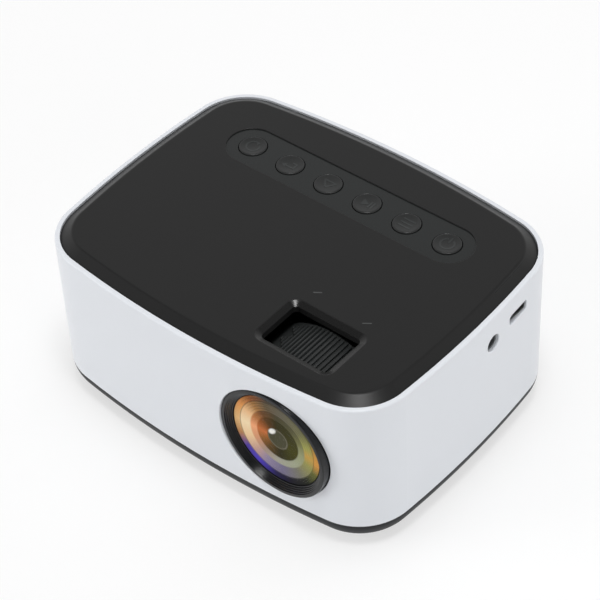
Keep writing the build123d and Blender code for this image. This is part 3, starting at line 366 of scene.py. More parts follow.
class PROJECTOR_OT_cover(bpy.types.Operator):
    """Finishes the black cover and makes the two focus ticks"""
    bl_idname = "projector.cover"
    bl_label = "Cover"

    PAINT_ROUGHNESS, KEYPAD_ROUGHNESS, BRIM_ROUGHNESS = 0.38, 0.24, 0.27
    # Middle and half width, along each axis, of the two places left unpainted
    KEYPAD = {
        "Y": (middle("key_1").y, 7.2 * MM),
        "Z": (COVER_TOP_Z - 0.35 * MM, 0.03 * MM)}
    BRIM = {
        "X": (26.05 * MM, 13.2 * MM),
        "Y": (-26.2 * MM, 9.5 * MM),
        "Z": (COVER_TOP_Z - 0.52 * MM, 0.44 * MM)}
    # Middle x and y, length and width in mm, and turn in degrees
    TICKS = ((17.6, -12.95, 2.2, 0.42, 33), (34.4, -14.2, 2.4, 0.36, 35))
    TICK_HEIGHT = 0.04 * MM

    def execute(self, context):
        settings = context.scene.projector_case
        # Satin soft-touch paint: near black, a fine grain and no sharp reflections
        paint = moulded(
            "satin black paint", settings.cover_colour, self.PAINT_ROUGHNESS, 0.18, 0.001)
        self.polish_and_light_keypad(paint, settings)
        dress(paint, "top_cover")
        ticks = bmesh.new()
        for x, y, length, width, turn in self.TICKS:
            place = Matrix.Translation((x * MM, y * MM, COVER_TOP_Z))
            size = Matrix.Diagonal((length * MM, width * MM, self.TICK_HEIGHT, 1))
            spin = Matrix.Rotation(radians(turn), 4, "Z")
            bmesh.ops.create_cube(ticks, size=1, matrix=place @ spin @ size)
        # Pad-printed ink: flat, dim grey, with slightly uneven cover
        ink = moulded("grey printing ink", "#464747", 0.5, 0.15, 0.002)
        piece("focus_ticks", ticks, ink, "case")
        return {"FINISHED"}

    # The keypad floor and the window's brim are left unpainted and smoother, and the keypad floor
    # takes a paler colour, painted light against the shade in its recess
    def polish_and_light_keypad(self, material, settings):
        tree, shader = material.node_tree, shader_of(material)
        place = add(tree, "TexCoord").outputs["Object"]
        parts = add(tree, "SeparateXYZ", inputs={"Vector": place}).outputs
        keypad = self.within(tree, parts, self.KEYPAD)
        brim = self.within(tree, parts, self.BRIM)
        # Painted light: the keypad floor takes the paler colour
        tone = add(tree, "MixRGB", inputs={
            "Fac": keypad, "Color1": (*settings.cover_colour, 1),
            "Color2": (*settings.keypad_painted_light_colour, 1)})
        tree.links.new(tone.outputs["Color"], shader.inputs["Base Color"])
        gloss = add(tree, "MapRange", inputs={
            "Value": keypad, "To Min": self.PAINT_ROUGHNESS, "To Max": self.KEYPAD_ROUGHNESS})
        shine = add(tree, "MapRange", inputs={
            "Value": brim, "To Min": gloss.outputs["Result"], "To Max": self.BRIM_ROUGHNESS})
        tree.links.new(shine.outputs["Result"], shader.inputs["Roughness"])

    # One inside the limits along every axis named, and nothing elsewhere
    def within(self, tree, parts, limits):
        share = 1.0
        for axis, (centre, half) in limits.items():
            near = add(tree, "Math", {"operation": "COMPARE"}, {
                0: parts[axis], 1: centre, 2: half})
            share = add(tree, "Math", {"operation": "MULTIPLY"}, {
                0: near.outputs["Value"], 1: share}).outputs["Value"]
        return share


class PROJECTOR_OT_base(bpy.types.Operator):
    """Finishes the base tray, its feet and the vents"""
    bl_idname = "projector.base"
    bl_label = "Base and vents"

    def execute(self, context):
        settings = context.scene.projector_case
        # Fine-textured ABS: dark grey, slightly shiny where it rolls under
        tray = moulded("dark textured ABS", settings.base_colour, 0.5, 0.25, 0.002, shine=0.2)
        dress(tray, "base_shell")
        # Moulded rubber: matt, near black, with a dusty uneven face
        dress(moulded("black rubber", "#191919", 0.75, 0.4, 0.01, drift=0.1), "rubber_feet")
        # Etched and blackened steel sheet: thin, flat, with a dull sheen
        steel = metal("blackened steel sheet", "#3A3B3A", "#2B2C2C", 0.45, 0.2)
        dress(steel, "vent_mesh_left", "vent_mesh_right")
        return {"FINISHED"}


class PROJECTOR_OT_keys(bpy.types.Operator):
    """Finishes the six key caps and makes their raised marks"""
    bl_idname = "projector.keys"
    bl_label = "Keys"

    DISH_R = 3.46 * MM
    DISH_DEPTH = 0.25 * MM
    MARK_ROOT = 0.06 * MM

    def execute(self, context):
        settings = context.scene.projector_keys
        case = context.scene.projector_case
        # Satin caps, shinier than the cover and painted a little paler, a painted lift against the
        # shade on them
        dress(moulded("satin black key caps", case.cap_painted_light_colour, 0.36, 0.18, 0.0012), *KEYS)
        # Raised marks, polished in the tool
        mark = moulded("polished raised marks", "#333535", 0.3, 0.3, 0.001)
        marks = (self.loop, self.enter, self.back, self.play, self.menu, self.power)
        for key, draw in zip(KEYS, marks):
            self.mark(key, draw, settings, mark)
        return {"FINISHED"}

    # Lays a mark on the key's shallow dish, with its root just under the surface
    def mark(self, key, draw, settings, material):
        bm = bmesh.new()
        draw(bm)
        stand = settings.mark_height + self.MARK_ROOT
        scale = settings.mark_size
        bmesh.ops.scale(bm, vec=(scale, scale, stand), verts=bm.verts)
        bmesh.ops.subdivide_edges(bm, edges=bm.edges, cuts=2, use_grid_fill=True)
        centre, top = middle(key), high(key).z
        for vert in bm.verts:
            share = min(1.0, vert.co.xy.length / self.DISH_R)
            dish_z = top - self.DISH_DEPTH * (1 - share ** 2)
            vert.co.z += dish_z - self.MARK_ROOT + stand / 2
        bmesh.ops.translate(bm, vec=(centre.x, centre.y, 0), verts=bm.verts)
        bmesh.ops.recalc_face_normals(bm, faces=bm.faces)
        piece(key + "_mark", bm, material, key)

    # Marks are drawn in mm, one unit thick, and then thinned and laid on the dish
    def bar(self, bm, x, y, length, width, turn=0):
        place = Matrix.Translation((x * MM, y * MM, 0))
        spin = Matrix.Rotation(radians(turn), 4, "Z")
        size = Matrix.Diagonal((length * MM, width * MM, 1, 1))
        bmesh.ops.create_cube(bm, size=1, matrix=place @ spin @ size)

    def wedge(self, bm, x, y, radius, turn=0):
        place = Matrix.Translation((x * MM, y * MM, 0))
        spin = Matrix.Rotation(radians(turn - 90), 4, "Z")
        bmesh.ops.create_cone(
            bm, cap_ends=True, segments=3, radius1=radius * MM, radius2=radius * MM, depth=1,
            matrix=place @ spin)

    def arc(self, bm, radius, width, start, sweep):
        inner, outer = (radius - width / 2) * MM, (radius + width / 2) * MM
        corners = ((inner, -0.5), (outer, -0.5), (outer, 0.5), (inner, 0.5))
        turn = Matrix.Rotation(radians(start), 4, "Z")
        verts = [bm.verts.new(turn @ Vector((r, 0, z))) for r, z in corners]
        edges = [bm.edges.new(pair) for pair in zip(verts, verts[1:] + verts[:1])]
        bmesh.ops.spin(
            bm, geom=verts + edges, axis=Z_AXIS, cent=(0, 0, 0), angle=radians(sweep),
            steps=round(sweep / 10), use_merge=False, use_duplicate=False)
        bmesh.ops.holes_fill(bm, edges=bm.edges, sides=4)

    def loop(self, bm):
        self.arc(bm, 1.9, 0.5, start=70, sweep=320)
        self.wedge(bm, 0.55, 1.75, 0.75, 160)

    def enter(self, bm):
        self.bar(bm, 0.1, -0.75, 3.0, 0.5)
        self.bar(bm, 1.6, 0.1, 0.5, 2.2)
        self.bar(bm, 0.9, 1.0, 1.4, 0.5)
        self.wedge(bm, -1.35, -0.75, 1.0, 180)

    def back(self, bm):
        self.bar(bm, 0, 1.1, 3.8, 0.5)
        self.bar(bm, -0.95, -0.1, 0.5, 3.1, 37)
        self.bar(bm, 0.95, -0.1, 0.5, 3.1, -37)

    def play(self, bm):
        self.wedge(bm, -0.8, 0, 1.45, 0)
        self.bar(bm, 0.95, 0, 0.5, 2.6)
        self.bar(bm, 1.85, 0, 0.5, 2.6)

    def menu(self, bm):
        for y in (-1.35, 0, 1.35):
            self.bar(bm, 0, y, 3.7, 0.55)

    def power(self, bm):
        self.arc(bm, 1.9, 0.5, start=115, sweep=310)
        self.bar(bm, 0, 1.5, 0.5, 2.0)


class PROJECTOR_OT_focus_ring(bpy.types.Operator):
    """Makes the ribbed focus ring with its pointed smooth patch"""
    bl_idname = "projector.focus_ring"
    bl_label = "Focus ring"

    BORE_R = 16.4 * MM
    BODY_R = 19.9 * MM
    BODY_ROUND = 0.3 * MM
    RIB_ROOT = 0.5 * MM
    RIB_WIDTH = 0.55 * MM
    FIRST_DEG, PITCH_DEG, RIB_COUNT = -29.5, 3.5, 27
    # Start and end of each rib along y in mm. The first ribs end in two points either side of
    # an arrow-shaped smooth patch.
    WHOLE_RIB = ((-36.4, -19.4),)
    SHORT_RIBS = (
        ((-26.9, -26.0), (-22.2, -21.3)),
        ((-28.1, -25.8), (-23.4, -20.9)),
        ((-29.5, -25.3), (-24.5, -20.5)),
        ((-31.0, -20.1),),
        ((-33.0, -19.7),),
    )

    def execute(self, context):
        settings = context.scene.projector_lens
        front, back = low("focus_ring").y, high("focus_ring").y
        profile = [
            (self.BORE_R, front), (self.BODY_R, front), (self.BODY_R, back),
            (self.BORE_R, back)]
        bm = turned(profile, closed=True)
        soften(bm, self.BODY_ROUND)
        join(bm, self.ribs(settings))
        piece("ribbed_ring", bm, self.finish(), "focus_ring", ["focus_ring"])
        return {"FINISHED"}

    def ribs(self, settings):
        crest_r = high("focus_ring").z - LENS_CENTRE.z
        foot_r = self.BODY_R - self.RIB_ROOT
        ribs = bmesh.new()
        for number in range(self.RIB_COUNT):
            turn = Matrix.Rotation(radians(self.FIRST_DEG + self.PITCH_DEG * number), 4, "Y")
            short = number < len(self.SHORT_RIBS)
            for start, end in self.SHORT_RIBS[number] if short else self.WHOLE_RIB:
                place = Matrix.Translation((0, (start + end) / 2 * MM, (foot_r + crest_r) / 2))
                size = Matrix.Diagonal(
                    (self.RIB_WIDTH, (end - start) * MM, crest_r - foot_r, 1))
                bmesh.ops.create_cube(
                    ribs, size=1, matrix=Matrix.Translation(LENS_CENTRE) @ turn @ place @ size)
        soften(ribs, settings.rib_round, segments=2)
        return ribs

    # Moulded nylon: the body between the ribs and at the smooth patch is painted lighter against the
    # shade that falls there, and the crests are painted darker against the light they catch
    def finish(self):
        material, tree, shader = new_material("black nylon with painted light and shade", {"Roughness": 0.42})
        radius = round_the_lens(tree)[2]
        crest = add(tree, "MapRange", {"interpolation_type": "SMOOTHSTEP"}, {
            "Value": radius, "From Min": self.BODY_R + 0.25 * MM,
            "From Max": self.BODY_R + 0.75 * MM})
        tone = add(tree, "ValToRGB", stops=[(0, "#343636"), (1, "#2E3030")], inputs={
            "Fac": crest.outputs["Result"]})
        tree.links.new(tone.outputs["Color"], shader.inputs["Base Color"])
        grains = add(tree, "TexNoise", inputs={
            "Vector": add(tree, "TexCoord").outputs["Object"], "Scale": 1 / (0.25 * MM),
            "Detail": 3.0})
        bump = add(tree, "Bump", inputs={
            "Distance": 0.006 * MM, "Height": grains.outputs["Fac"]})
        tree.links.new(bump.outputs["Normal"], shader.inputs["Normal"])
        return material


class PROJECTOR_OT_lens(bpy.types.Operator):
    """Makes the bezel, the front glass and the cup behind it that carries painted reflections and
    shade
    """
    bl_idname = "projector.lens"
    bl_label = "Lens"

    BEZEL_R = 16.7 * MM
    BORE_R = 14.2 * MM
    BORE_DEPTH = 1.72 * MM
    TUBE_R, TUBE_Y = 16.32 * MM, -38.6 * MM
    LEDGE_R, LEDGE_DEPTH = 18.2 * MM, 1.4 * MM
    # The cone's steps: the first one's radius, how far each is inside and behind the last, and
    # how far each runs in and back
    CONE_R, CONE_STEPS = 15.62 * MM, 4
    STEP_IN, STEP_BACK = 0.35 * MM, 0.42 * MM
    TREAD_IN, TREAD_BACK = 0.1 * MM, 0.36 * MM

    CUP_R = 14.05 * MM
    # Share of the cup's radius, and of its depth, from the middle out
    CUP = ((0.25, 0.98), (0.48, 0.9), (0.63, 0.72), (0.85, 0.3), (0.97, 0.04), (1.0, 0.0))
    CUP_SEAT, CUP_FLOOR = 0.04 * MM, 0.6 * MM
    GLASS_THICKNESS = 0.25 * MM
    GLASS_RINGS = 12

    # Painted reflection colours round the axis, from the left through the bottom, right and top
    RIM = (
        (0, "#F2C68A"), (0.06, "#C08A5C"), (0.11, "#5A4AA8"), (0.17, "#5B4BC8"),
        (0.24, "#2E2A52"), (0.3, "#24222E"), (0.38, "#2C2E24"), (0.44, "#6E7038"),
        (0.49, "#E0A04C"), (0.53, "#D09A48"), (0.58, "#7E7C3C"), (0.66, "#4A4838"),
        (0.78, "#4C463C"), (0.86, "#9A5A2C"), (0.92, "#E89E58"), (1, "#F2C68A"))
    BROAD = (
        (0, "#FFE6BC"), (0.07, "#F4CFA0"), (0.13, "#CCA494"), (0.19, "#9488A4"),
        (0.27, "#77708C"), (0.36, "#7C7A6C"), (0.45, "#9C9A58"), (0.5, "#CCA250"),
        (0.55, "#A8A85A"), (0.62, "#7A7854"), (0.72, "#6E6858"), (0.8, "#6A5A40"),
        (0.87, "#B07E48"), (0.93, "#F4C490"), (1, "#FFE6BC"))
    PALE = (
        (0, "#F6AC7C"), (0.08, "#DC9E78"), (0.16, "#A89486"), (0.25, "#A8A698"),
        (0.37, "#A6AA90"), (0.48, "#9CA078"), (0.56, "#7A7A4C"), (0.64, "#5A583A"),
        (0.75, "#4A442C"), (0.85, "#6E4826"), (0.93, "#C07C48"), (1, "#F6AC7C"))
    IRIS = (
        (0, "#CC7440"), (0.08, "#94602E"), (0.16, "#5C4420"), (0.27, "#2E2C10"),
        (0.45, "#46440F"), (0.6, "#3A3812"), (0.75, "#34300F"), (0.86, "#5A3A18"),
        (0.94, "#A05C2C"), (1, "#CC7440"))

    # Edges in mm where each ring of painted reflection starts and is whole, and where a thin painted
    # highlight line and a thin painted shade line rise and fall again
    PALE_EDGE, BROAD_EDGE, RIM_EDGE = (6.4, 7.0), (8.5, 9.1), (11.7, 12.3)
    CENTRE_EDGE, BARREL_EDGE = (3.5, 3.2), (13.7, 13.95)
    INNER_LINE = ((2.75, 3.05), (3.35, 3.05))
    OUTER_LINE = ((11.7, 11.95), (12.2, 11.95))
    GROOVE_EDGE, GROOVE_PITCH = (7.4, 8.4), 0.85 * MM
    # Where the painted groove shade shows, round the axis as the colours go
    GROOVE_TURN = ((0.5, "#000000"), (0.6, "#A8A8A8"), (0.84, "#A8A8A8"), (0.93, "#000000"))
    # The painted highlight is a white oval that leans to the left and has no end along y
    PATCH_PLACE, PATCH_LEAN = (-1.75 * MM, 0, 1.75 * MM), radians(-45)
    PATCH_SIZE, PATCH_EDGE = (1.9, 1000, 1.05), (1.0, 0.45)

    def execute(self, context):
        settings = context.scene.projector_lens
        self.bezel(settings)
        self.reflection_cup(settings)
        self.glass()
        # Black nylon barrel, turned dull inside
        barrel = moulded("black barrel nylon", "#161616", 0.45, 0.2, 0.003)
        dress(barrel, "lens_barrel", "lens_tube")
        # Moulded acrylic lenses further in: clear and colourless
        dress(optical("moulded clear acrylic", "#F2F4F4", 0.15), "middle_lens", "rear_lens")
        return {"FINISHED"}

    # The cone inside the bezel is stepped by four fine rings that keep stray light down
    def bezel(self, settings):
        round_r = settings.edge_round
        ledge_y = BEZEL_BACK_Y - self.LEDGE_DEPTH
        profile = [(self.BEZEL_R, ledge_y)]
        for turn in (0, 30, 60, 90):
            profile.append((
                self.BEZEL_R - round_r * (1 - cos(radians(turn))),
                BEZEL_FACE_Y + round_r * (1 - sin(radians(turn)))))
        for number in range(self.CONE_STEPS):
            step_r = self.CONE_R - self.STEP_IN * number
            step_y = BEZEL_FACE_Y + self.STEP_BACK * number
            profile += [(step_r, step_y), (step_r - self.TREAD_IN, step_y + self.TREAD_BACK)]
        profile += [
            (self.BORE_R, BEZEL_FACE_Y + self.BORE_DEPTH), (self.BORE_R, self.TUBE_Y),
            (self.TUBE_R, self.TUBE_Y), (self.TUBE_R, BEZEL_BACK_Y),
            (self.LEDGE_R, BEZEL_BACK_Y), (self.LEDGE_R, ledge_y)]
        # Polished black polycarbonate: deep black with clear reflections
        black = moulded(
            "polished black polycarbonate", "#0D0F12", 0.24, 0.8, 0.0008, drift=0.03, shine=0.34)
        bm = turned(profile, closed=True)
        piece("lens_ring", bm, black, "case", ["lens_bezel"])

    # A shallow closed cup that carries the painted reflections and shade
    def reflection_cup(self, settings):
        rim_y = BARREL_FACE_Y - 0.06 * MM
        depth = settings.cup_depth
        profile = [(0, rim_y + depth)]
        profile += [(self.CUP_R * share, rim_y + depth * sunk) for share, sunk in self.CUP]
        profile += [
            (self.CUP_R, rim_y + self.CUP_SEAT), (GLASS_R, rim_y + self.CUP_SEAT),
            (GLASS_R, rim_y + depth + self.CUP_FLOOR), (0, rim_y + depth + self.CUP_FLOOR)]
        piece("lens_reflection_cup", turned(profile), self.painted_reflection_finish(), "lens_barrel")

    # A thin dome of glass with closed edges
    def glass(self):
        rim_y = BARREL_FACE_Y - 0.1 * MM
        bulge = rim_y - GLASS_APEX_Y
        shares = [step / self.GLASS_RINGS for step in range(self.GLASS_RINGS, -1, -1)]
        outer = [(self.CUP_R * share, GLASS_APEX_Y + bulge * share ** 2) for share in shares]
        inner = [
            (radius, y + self.GLASS_THICKNESS * (1 - share * 0.7))
            for (radius, y), share in zip(outer, shares)]
        bm = turned(inner[::-1] + outer)
        piece("front_glass", bm, self.glass_finish(), "lens_barrel", ["front_lens"])

    # Coated glass: almost clear from the front, with a faint dark veil at a low angle
    def glass_finish(self):
        material = optical("coated front glass", "#050506", 0.05, 0.03, 1.6)
        tree = material.node_tree
        slant = add(tree, "LayerWeight", inputs={"Blend": 0.5})
        veil = add(tree, "MapRange", {"interpolation_type": "SMOOTHSTEP"}, {
            "Value": slant.outputs["Facing"], "From Min": 0.6, "To Min": 0.02, "To Max": 0.15})
        tree.links.new(veil.outputs["Result"], shader_of(material).inputs["Alpha"])
        return material

    # Painted reflections and shade over a dark barrel: rings of reflected colour, warm on one side,
    # violet below and olive opposite, with a dark iris of painted shade in the middle
    def painted_reflection_finish(self):
        material, tree, shader = new_material(
            "lens cup with painted reflections", {"Roughness": 0.45, "Specular IOR Level": 0.05})
        centred, parts, radius = round_the_lens(tree)
        angle = add(tree, "Math", {"operation": "ARCTAN2"}, {0: parts["Z"], 1: parts["X"]})
        turn = add(tree, "MapRange", inputs={
            "Value": angle.outputs["Value"], "From Min": -pi, "From Max": pi})
        iris, pale, broad, rim = [
            add(tree, "ValToRGB", stops=stops, inputs={
                "Fac": turn.outputs["Result"]}).outputs["Color"]
            for stops in (self.IRIS, self.PALE, self.BROAD, self.RIM)]
        # The small slanting patch is a painted highlight: light caught by an inner lens face
        patch = add(tree, "Mapping", {"vector_type": "TEXTURE"}, {
            "Vector": centred, "Location": self.PATCH_PLACE,
            "Rotation": (0, self.PATCH_LEAN, 0), "Scale": self.PATCH_SIZE})
        reach = add(tree, "VectorMath", {"operation": "LENGTH"}, {
            0: patch.outputs["Vector"]}).outputs["Value"]
        # Layers over the iris: rings of painted reflection, the dark centre and barrel edge as painted
        # shade, a painted highlight line, a painted shade line, the painted groove shade and the
        # painted highlight
        layers = (
            (pale, self.passed(tree, radius, self.PALE_EDGE)),
            (broad, self.passed(tree, radius, self.BROAD_EDGE)),
            (rim, self.passed(tree, radius, self.RIM_EDGE)),
            (rgba("#4A4834"), self.passed(tree, radius, self.CENTRE_EDGE)),
            (rgba("#7A7462"), self.passed(tree, radius, *self.INNER_LINE, share=0.8)),
            (rgba("#15140F"), self.passed(tree, radius, *self.OUTER_LINE, share=0.5)),
            (rgba("#100F0C"), self.groove_shade(tree, radius, turn.outputs["Result"])),
            (rgba("#0C0C0C"), self.passed(tree, radius, self.BARREL_EDGE)),
            (rgba("#FBFAF6"), self.passed(tree, reach, self.PATCH_EDGE)))
        colour = iris
        for above, share in layers:
            colour = add(tree, "MixRGB", inputs={
                "Fac": share, "Color1": colour, "Color2": above}).outputs["Color"]
        tree.links.new(colour, shader.inputs["Base Color"])
        return material

    # The whole share where the value is past every edge, falling smoothly to nothing before it
    def passed(self, tree, value, *edges, share=1.0):
        for start, end in edges:
            share = add(tree, "MapRange", {"interpolation_type": "SMOOTHSTEP"}, {
                "Value": value, "From Min": start * MM, "From Max": end * MM,
                "To Max": share}).outputs["Result"]
        return share

    # Painted shade of the barrel's turned grooves behind: dark rings in the upper half
    def groove_shade(self, tree, radius, turn):
        beat = add(tree, "Math", {"operation": "MULTIPLY"}, {
            0: radius, 1: 2 * pi / self.GROOVE_PITCH})
        wave = add(tree, "Math", {"operation": "SINE"}, {0: beat.outputs["Value"]})
        half = add(tree, "ValToRGB", stops=self.GROOVE_TURN, inputs={"Fac": turn})
        share = self.passed(tree, radius, self.GROOVE_EDGE, share=half.outputs["Color"])
        return add(tree, "Math", {"operation": "MULTIPLY", "use_clamp": True}, {
            0: share, 1: wave.outputs["Value"]}).outputs["Value"]


class PROJECTOR_OT_sockets(bpy.types.Operator):
    """Finishes the sockets, the infrared receiver and the tripod insert"""
    bl_idname = "projector.sockets"
    bl_label = "Sockets"

    def execute(self, context):
        # Nickel-plated steel sheet: bright, with drawing lines front to back
        nickel = metal(
            "nickel-plated steel sheet", "#B9BABA", "#8E8F8F", 0.28, 0.12, (1, 0.15, 1))
        dress(nickel, "usb_shell", "micro_usb_shell")
        # Glass-filled socket nylon: dull and dark
        dress(moulded("dark grey socket nylon", "#2F3032", 0.5, 0.15, 0.004), "usb_tongue")
        # Unfilled socket nylon: smoother and near black
        dress(moulded("black socket nylon", "#17181A", 0.4, 0.15, 0.003), "audio_jack")
        # The side sockets' nylon is a paler grey
        grey = moulded("grey socket nylon", "#585B5C", 0.45, 0.15, 0.003)
        dress(grey, "av_jack", "micro_usb_tongue")
        # Gold flash over nickel, thin and pale
        gold = metal(
            "gold-flashed spring contacts", "#A89A7E", "#857A64", 0.35, 0.1, (1, 0.1, 1))
        dress(gold, "usb_contacts")
        # Dark epoxy that passes only infrared: smooth, with a faint red in its black
        dress(moulded("infrared epoxy", "#1A1214", 0.15, 0.4, 0.001), "ir_receiver")
        # Turned brass with tool rings
        brass = metal("turned brass", "#B08D4C", "#8A6C36", 0.32, 0.1, (1, 1, 6))
        dress(brass, "tripod_insert")
        return {"FINISHED"}


class PROJECTOR_OT_engine(bpy.types.Operator):
    """Finishes the light engine, the fan and the speaker"""
    bl_idname = "projector.engine"
    bl_label = "Engine, fan and speaker"

    def execute(self, context):
        # Black glass-filled polycarbonate: rigid, dull, with flow marks
        inner = moulded(
            "black glass-filled polycarbonate", "#202122", 0.6, 0.3, 0.006, drift=0.08)
        dress(inner, "engine_housing", "engine_lid", "fan_frame", "speaker_frame")
        # Unfilled nylon: smooth blades with a soft sheen
        dress(moulded("black fan nylon", "#1A1A1B", 0.38, 0.3, 0.003), "fan_rotor")
        # Extruded aluminium: pale, with drawing lines along the fins
        sink = metal(
            "extruded aluminium", "#C3C5C6", "#A5A7A9", 0.4, 0.2, (1, 0.08, 1), relief=0.004)
        dress(sink, "heatsink")
        # Aluminium laid on in a vacuum: a bright, almost clean mirror
        mirror = metal(
            "vacuum-coated mirror", "#E6E8E9", "#DADCDD", 0.08, 0.6, relief=0.0005)
        dress(mirror, "fold_mirror", "reflector")
        # Silicone phosphor: matt warm yellow
        dress(moulded("yellow phosphor", "#E3C53A", 0.6, 0.2, 0.004), "led_chip")
        # Heat-absorbing glass: clear with a green cast
        dress(optical("heat-absorbing glass", "#CFE3D8", 0.22, 0.03, 1.52), "heat_glass")
        # Pressed acrylic with fine ribs that make it look frosted
        ribbed = optical("ribbed acrylic sheet", "#EEF1F1", 0.3, 0.12)
        dress(ribbed, "rear_fresnel", "front_fresnel")
        # Polarising film: almost black with a bluish sheen
        dress(optical("dark polarising film", "#14161C", 0.92, 0.12), "lcd_panel")
        # Pressed pulp paper: dark, felted and matt
        dress(pulp_paper("pressed pulp cone", "#1E1C1A", "#35322E"), "speaker_cone")
        return {"FINISHED"}


class PROJECTOR_OT_electronics(bpy.types.Operator):
    """Finishes the boards, switches, wires and screws"""
    bl_idname = "projector.electronics"
    bl_label = "Electronics and screws"

    def execute(self, context):
        # Solder lacquer: glossy green, or white where it throws light back
        dress(lacquered_board("green board lacquer", "#123F2A", "#1F5E3E"), "main_board")
        dress(lacquered_board("white board lacquer", "#D8DAD6", "#EDEEEA"), "led_board")
        # Filled epoxy: dark grey and matt
        dress(moulded("filled chip epoxy", "#26272A", 0.65, 0.12, 0.003), "main_chip")
        # Moulded switch bodies and stems: smooth, near black
        switch = moulded("black switch plastic", "#1D1E1F", 0.45, 0.2, 0.003)
        dress(switch, "key_switches", *PLUNGERS)
        # Zinc-plated steel: bluish white, bright
        zinc = metal("zinc-plated steel", "#A9ADB2", "#7F8388", 0.34, 0.12)
        dress(zinc, "case_screws", "board_screws", "engine_screws", "tube_screws")
        # Soft wire insulation: black with a waxy sheen
        wire = moulded("black wire insulation", "#1B1B1C", 0.5, 0.5, 0.01)
        dress(wire, "fan_lead", "speaker_lead", "led_lead")
        # Amber film over copper tracks
        dress(lacquered_board("amber polyimide film", "#8A4B12", "#B5702A"), "lcd_flex")
        return {"FINISHED"}


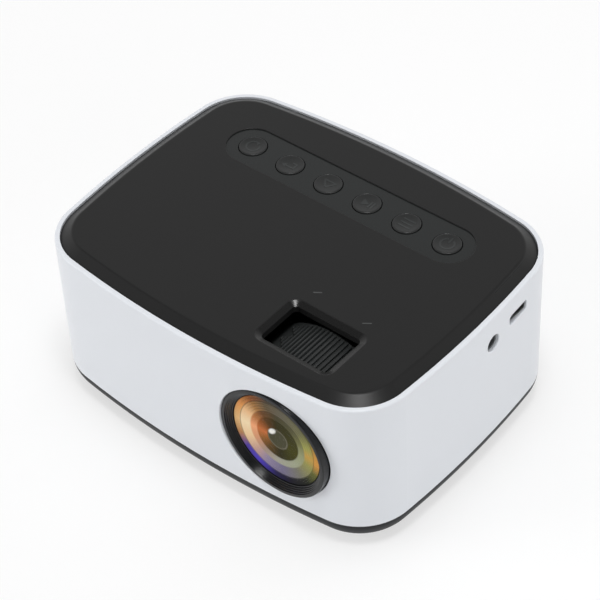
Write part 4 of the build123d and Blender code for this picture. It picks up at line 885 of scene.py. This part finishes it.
class PROJECTOR_OT_stage(bpy.types.Operator):
    """Makes the pale floor, the lamps and the camera"""
    bl_idname = "projector.stage"
    bl_label = "Stage"

    FLOOR_SIZE, FLOOR_GLOW = 3.0, 0.6
    # Name, size in metres, watts, place, and whether it shows in reflections. The small panel
    # does: it lights the cover's near corner and glints in the window's brim.
    LAMPS = (
        ("overhead softbox", (0.9, 0.9), 1.9, (-0.1, 0.1, 0.95), False),
        ("overhead panel", (0.2, 0.2), 2.9, (0.16, -0.13, 0.95), True),
        ("left softbox", (0.5, 0.7), 4.1, (-0.75, -0.75, 0.35), False),
        ("right softbox", (0.5, 0.7), 2.1, (0.95, -0.25, 0.4), False),
        ("back softbox", (0.8, 0.5), 2.2, (0.2, 1.0, 0.5), False))
    LAMP_TARGET = Vector((0, 0, 0.03))
    AMBIENT = 0.4
    # The studio's brightness from underfoot to overhead, as reflections show it
    DIMMING = ((0, "#FFFFFF"), (0.5, "#D8D8D8"), (0.7, "#C0C0C0"), (0.77, "#303030"),
               (1, "#202020"))
    CAMERA_TARGET = Vector((0, 0, 0.0291))
    SENSOR_WIDTH = 36.0
    CLIP_START, CLIP_END = 0.01, 20.0

    def execute(self, context):
        settings = context.scene.projector_stage
        self.floor(settings)
        for lamp in self.LAMPS:
            self.lamp(*lamp)
        self.world(context.scene)
        self.camera(context.scene, settings)
        return {"FINISHED"}

    def floor(self, settings):
        bm = bmesh.new()
        bmesh.ops.create_grid(bm, x_segments=1, y_segments=1, size=self.FLOOR_SIZE)
        mesh = bpy.data.meshes.new("floor")
        bm.to_mesh(mesh)
        bm.free()
        floor = bpy.data.objects.new("floor", mesh)
        bpy.context.collection.objects.link(floor)
        # Matt table paint: plain and pale, brightened only where it is seen
        material = bpy.data.materials.new("pale table")
        material.use_nodes = True
        tree = material.node_tree
        tree.nodes.clear()
        paint = add(tree, "BsdfDiffuse", inputs={"Color": (*settings.floor_colour, 1.0)})
        glow = add(tree, "Emission", inputs={"Color": (1, 1, 1, 1), "Strength": 1.0})
        share = add(tree, "Math", {"operation": "MULTIPLY"}, {
            0: seen_rays(tree), 1: self.FLOOR_GLOW})
        mix = add(tree, "MixShader", inputs={
            "Fac": share.outputs["Value"], 1: paint.outputs["BSDF"],
            2: glow.outputs["Emission"]})
        add(tree, "OutputMaterial", inputs={"Surface": mix.outputs["Shader"]})
        mesh.materials.append(material)

    def lamp(self, name, size, watts, place, mirrored):
        data = bpy.data.lights.new(name, "AREA")
        data.shape = "RECTANGLE"
        data.size, data.size_y = size
        data.energy = watts
        lamp = bpy.data.objects.new(name, data)
        bpy.context.collection.objects.link(lamp)
        lamp.location = place
        lamp.rotation_euler = (
            self.LAMP_TARGET - Vector(place)).to_track_quat("-Z", "Y").to_euler()
        lamp.visible_glossy = mirrored

    def world(self, scene):
        world = bpy.data.worlds.new("plain studio")
        scene.world = world
        world.use_nodes = True
        tree = world.node_tree
        tree.nodes.clear()
        ambient = add(tree, "Background", inputs={
            "Color": (1, 1, 1, 1), "Strength": self.AMBIENT})
        # Seen directly the studio is white, and in a reflection it dims overhead
        place = add(tree, "TexCoord").outputs["Generated"]
        parts = add(tree, "SeparateXYZ", inputs={"Vector": place})
        height = add(tree, "ValToRGB", stops=self.DIMMING, inputs={"Fac": parts.outputs["Z"]})
        level = add(tree, "Math", {"operation": "MAXIMUM"}, {
            0: height.outputs["Color"], 1: add(tree, "LightPath").outputs["Is Camera Ray"]})
        seen = add(tree, "Background", inputs={"Strength": level.outputs["Value"]})
        mix = add(tree, "MixShader", inputs={
            "Fac": seen_rays(tree), 1: ambient.outputs["Background"],
            2: seen.outputs["Background"]})
        add(tree, "OutputWorld", inputs={"Surface": mix.outputs["Shader"]})

    def camera(self, scene, settings):
        data = bpy.data.cameras.new("camera")
        data.lens = settings.focal
        data.sensor_width = self.SENSOR_WIDTH
        data.clip_start, data.clip_end = self.CLIP_START, self.CLIP_END
        camera = bpy.data.objects.new("camera", data)
        bpy.context.collection.objects.link(camera)
        azimuth, elevation = settings.azimuth, settings.elevation
        back = Vector((
            sin(azimuth) * cos(elevation), -cos(azimuth) * cos(elevation), sin(elevation)))
        camera.location = self.CAMERA_TARGET + back * settings.distance
        facing = (-back).to_track_quat("-Z", "Y").to_matrix()
        camera.rotation_euler = (facing @ Matrix.Rotation(settings.roll, 3, "Z")).to_euler()
        scene.camera = camera
        scene.view_settings.view_transform = "Standard"


class PROJECTOR_PT_panel(bpy.types.Panel):
    bl_idname = "PROJECTOR_PT_panel"
    bl_label = "Projector"
    bl_space_type = "VIEW_3D"
    bl_region_type = "UI"
    bl_category = "Projector"

    def draw(self, context):
        for operator in OPERATORS:
            self.layout.operator(operator.bl_idname)


OPERATORS = (
    PROJECTOR_OT_sleeve, PROJECTOR_OT_cover, PROJECTOR_OT_base, PROJECTOR_OT_keys,
    PROJECTOR_OT_focus_ring, PROJECTOR_OT_lens, PROJECTOR_OT_sockets, PROJECTOR_OT_engine,
    PROJECTOR_OT_electronics, PROJECTOR_OT_stage)
GROUPS = {
    "projector_case": ProjectorCase,
    "projector_keys": ProjectorKeys,
    "projector_lens": ProjectorLens,
    "projector_stage": ProjectorStage,
}
CLASSES = (*GROUPS.values(), *OPERATORS, PROJECTOR_PT_panel)


def register():
    for cls in CLASSES:
        bpy.utils.register_class(cls)
    for name, group in GROUPS.items():
        setattr(bpy.types.Scene, name, bpy.props.PointerProperty(type=group))


def unregister():
    for name in GROUPS:
        delattr(bpy.types.Scene, name)
    for cls in reversed(CLASSES):
        bpy.utils.unregister_class(cls)


def main():
    register()
    bpy.ops.projector.sleeve()
    bpy.ops.projector.cover()
    bpy.ops.projector.base()
    bpy.ops.projector.keys()
    bpy.ops.projector.focus_ring()
    bpy.ops.projector.lens()
    bpy.ops.projector.sockets()
    bpy.ops.projector.engine()
    bpy.ops.projector.electronics()
    bpy.ops.projector.stage()


if __name__ == "__main__":
    main()
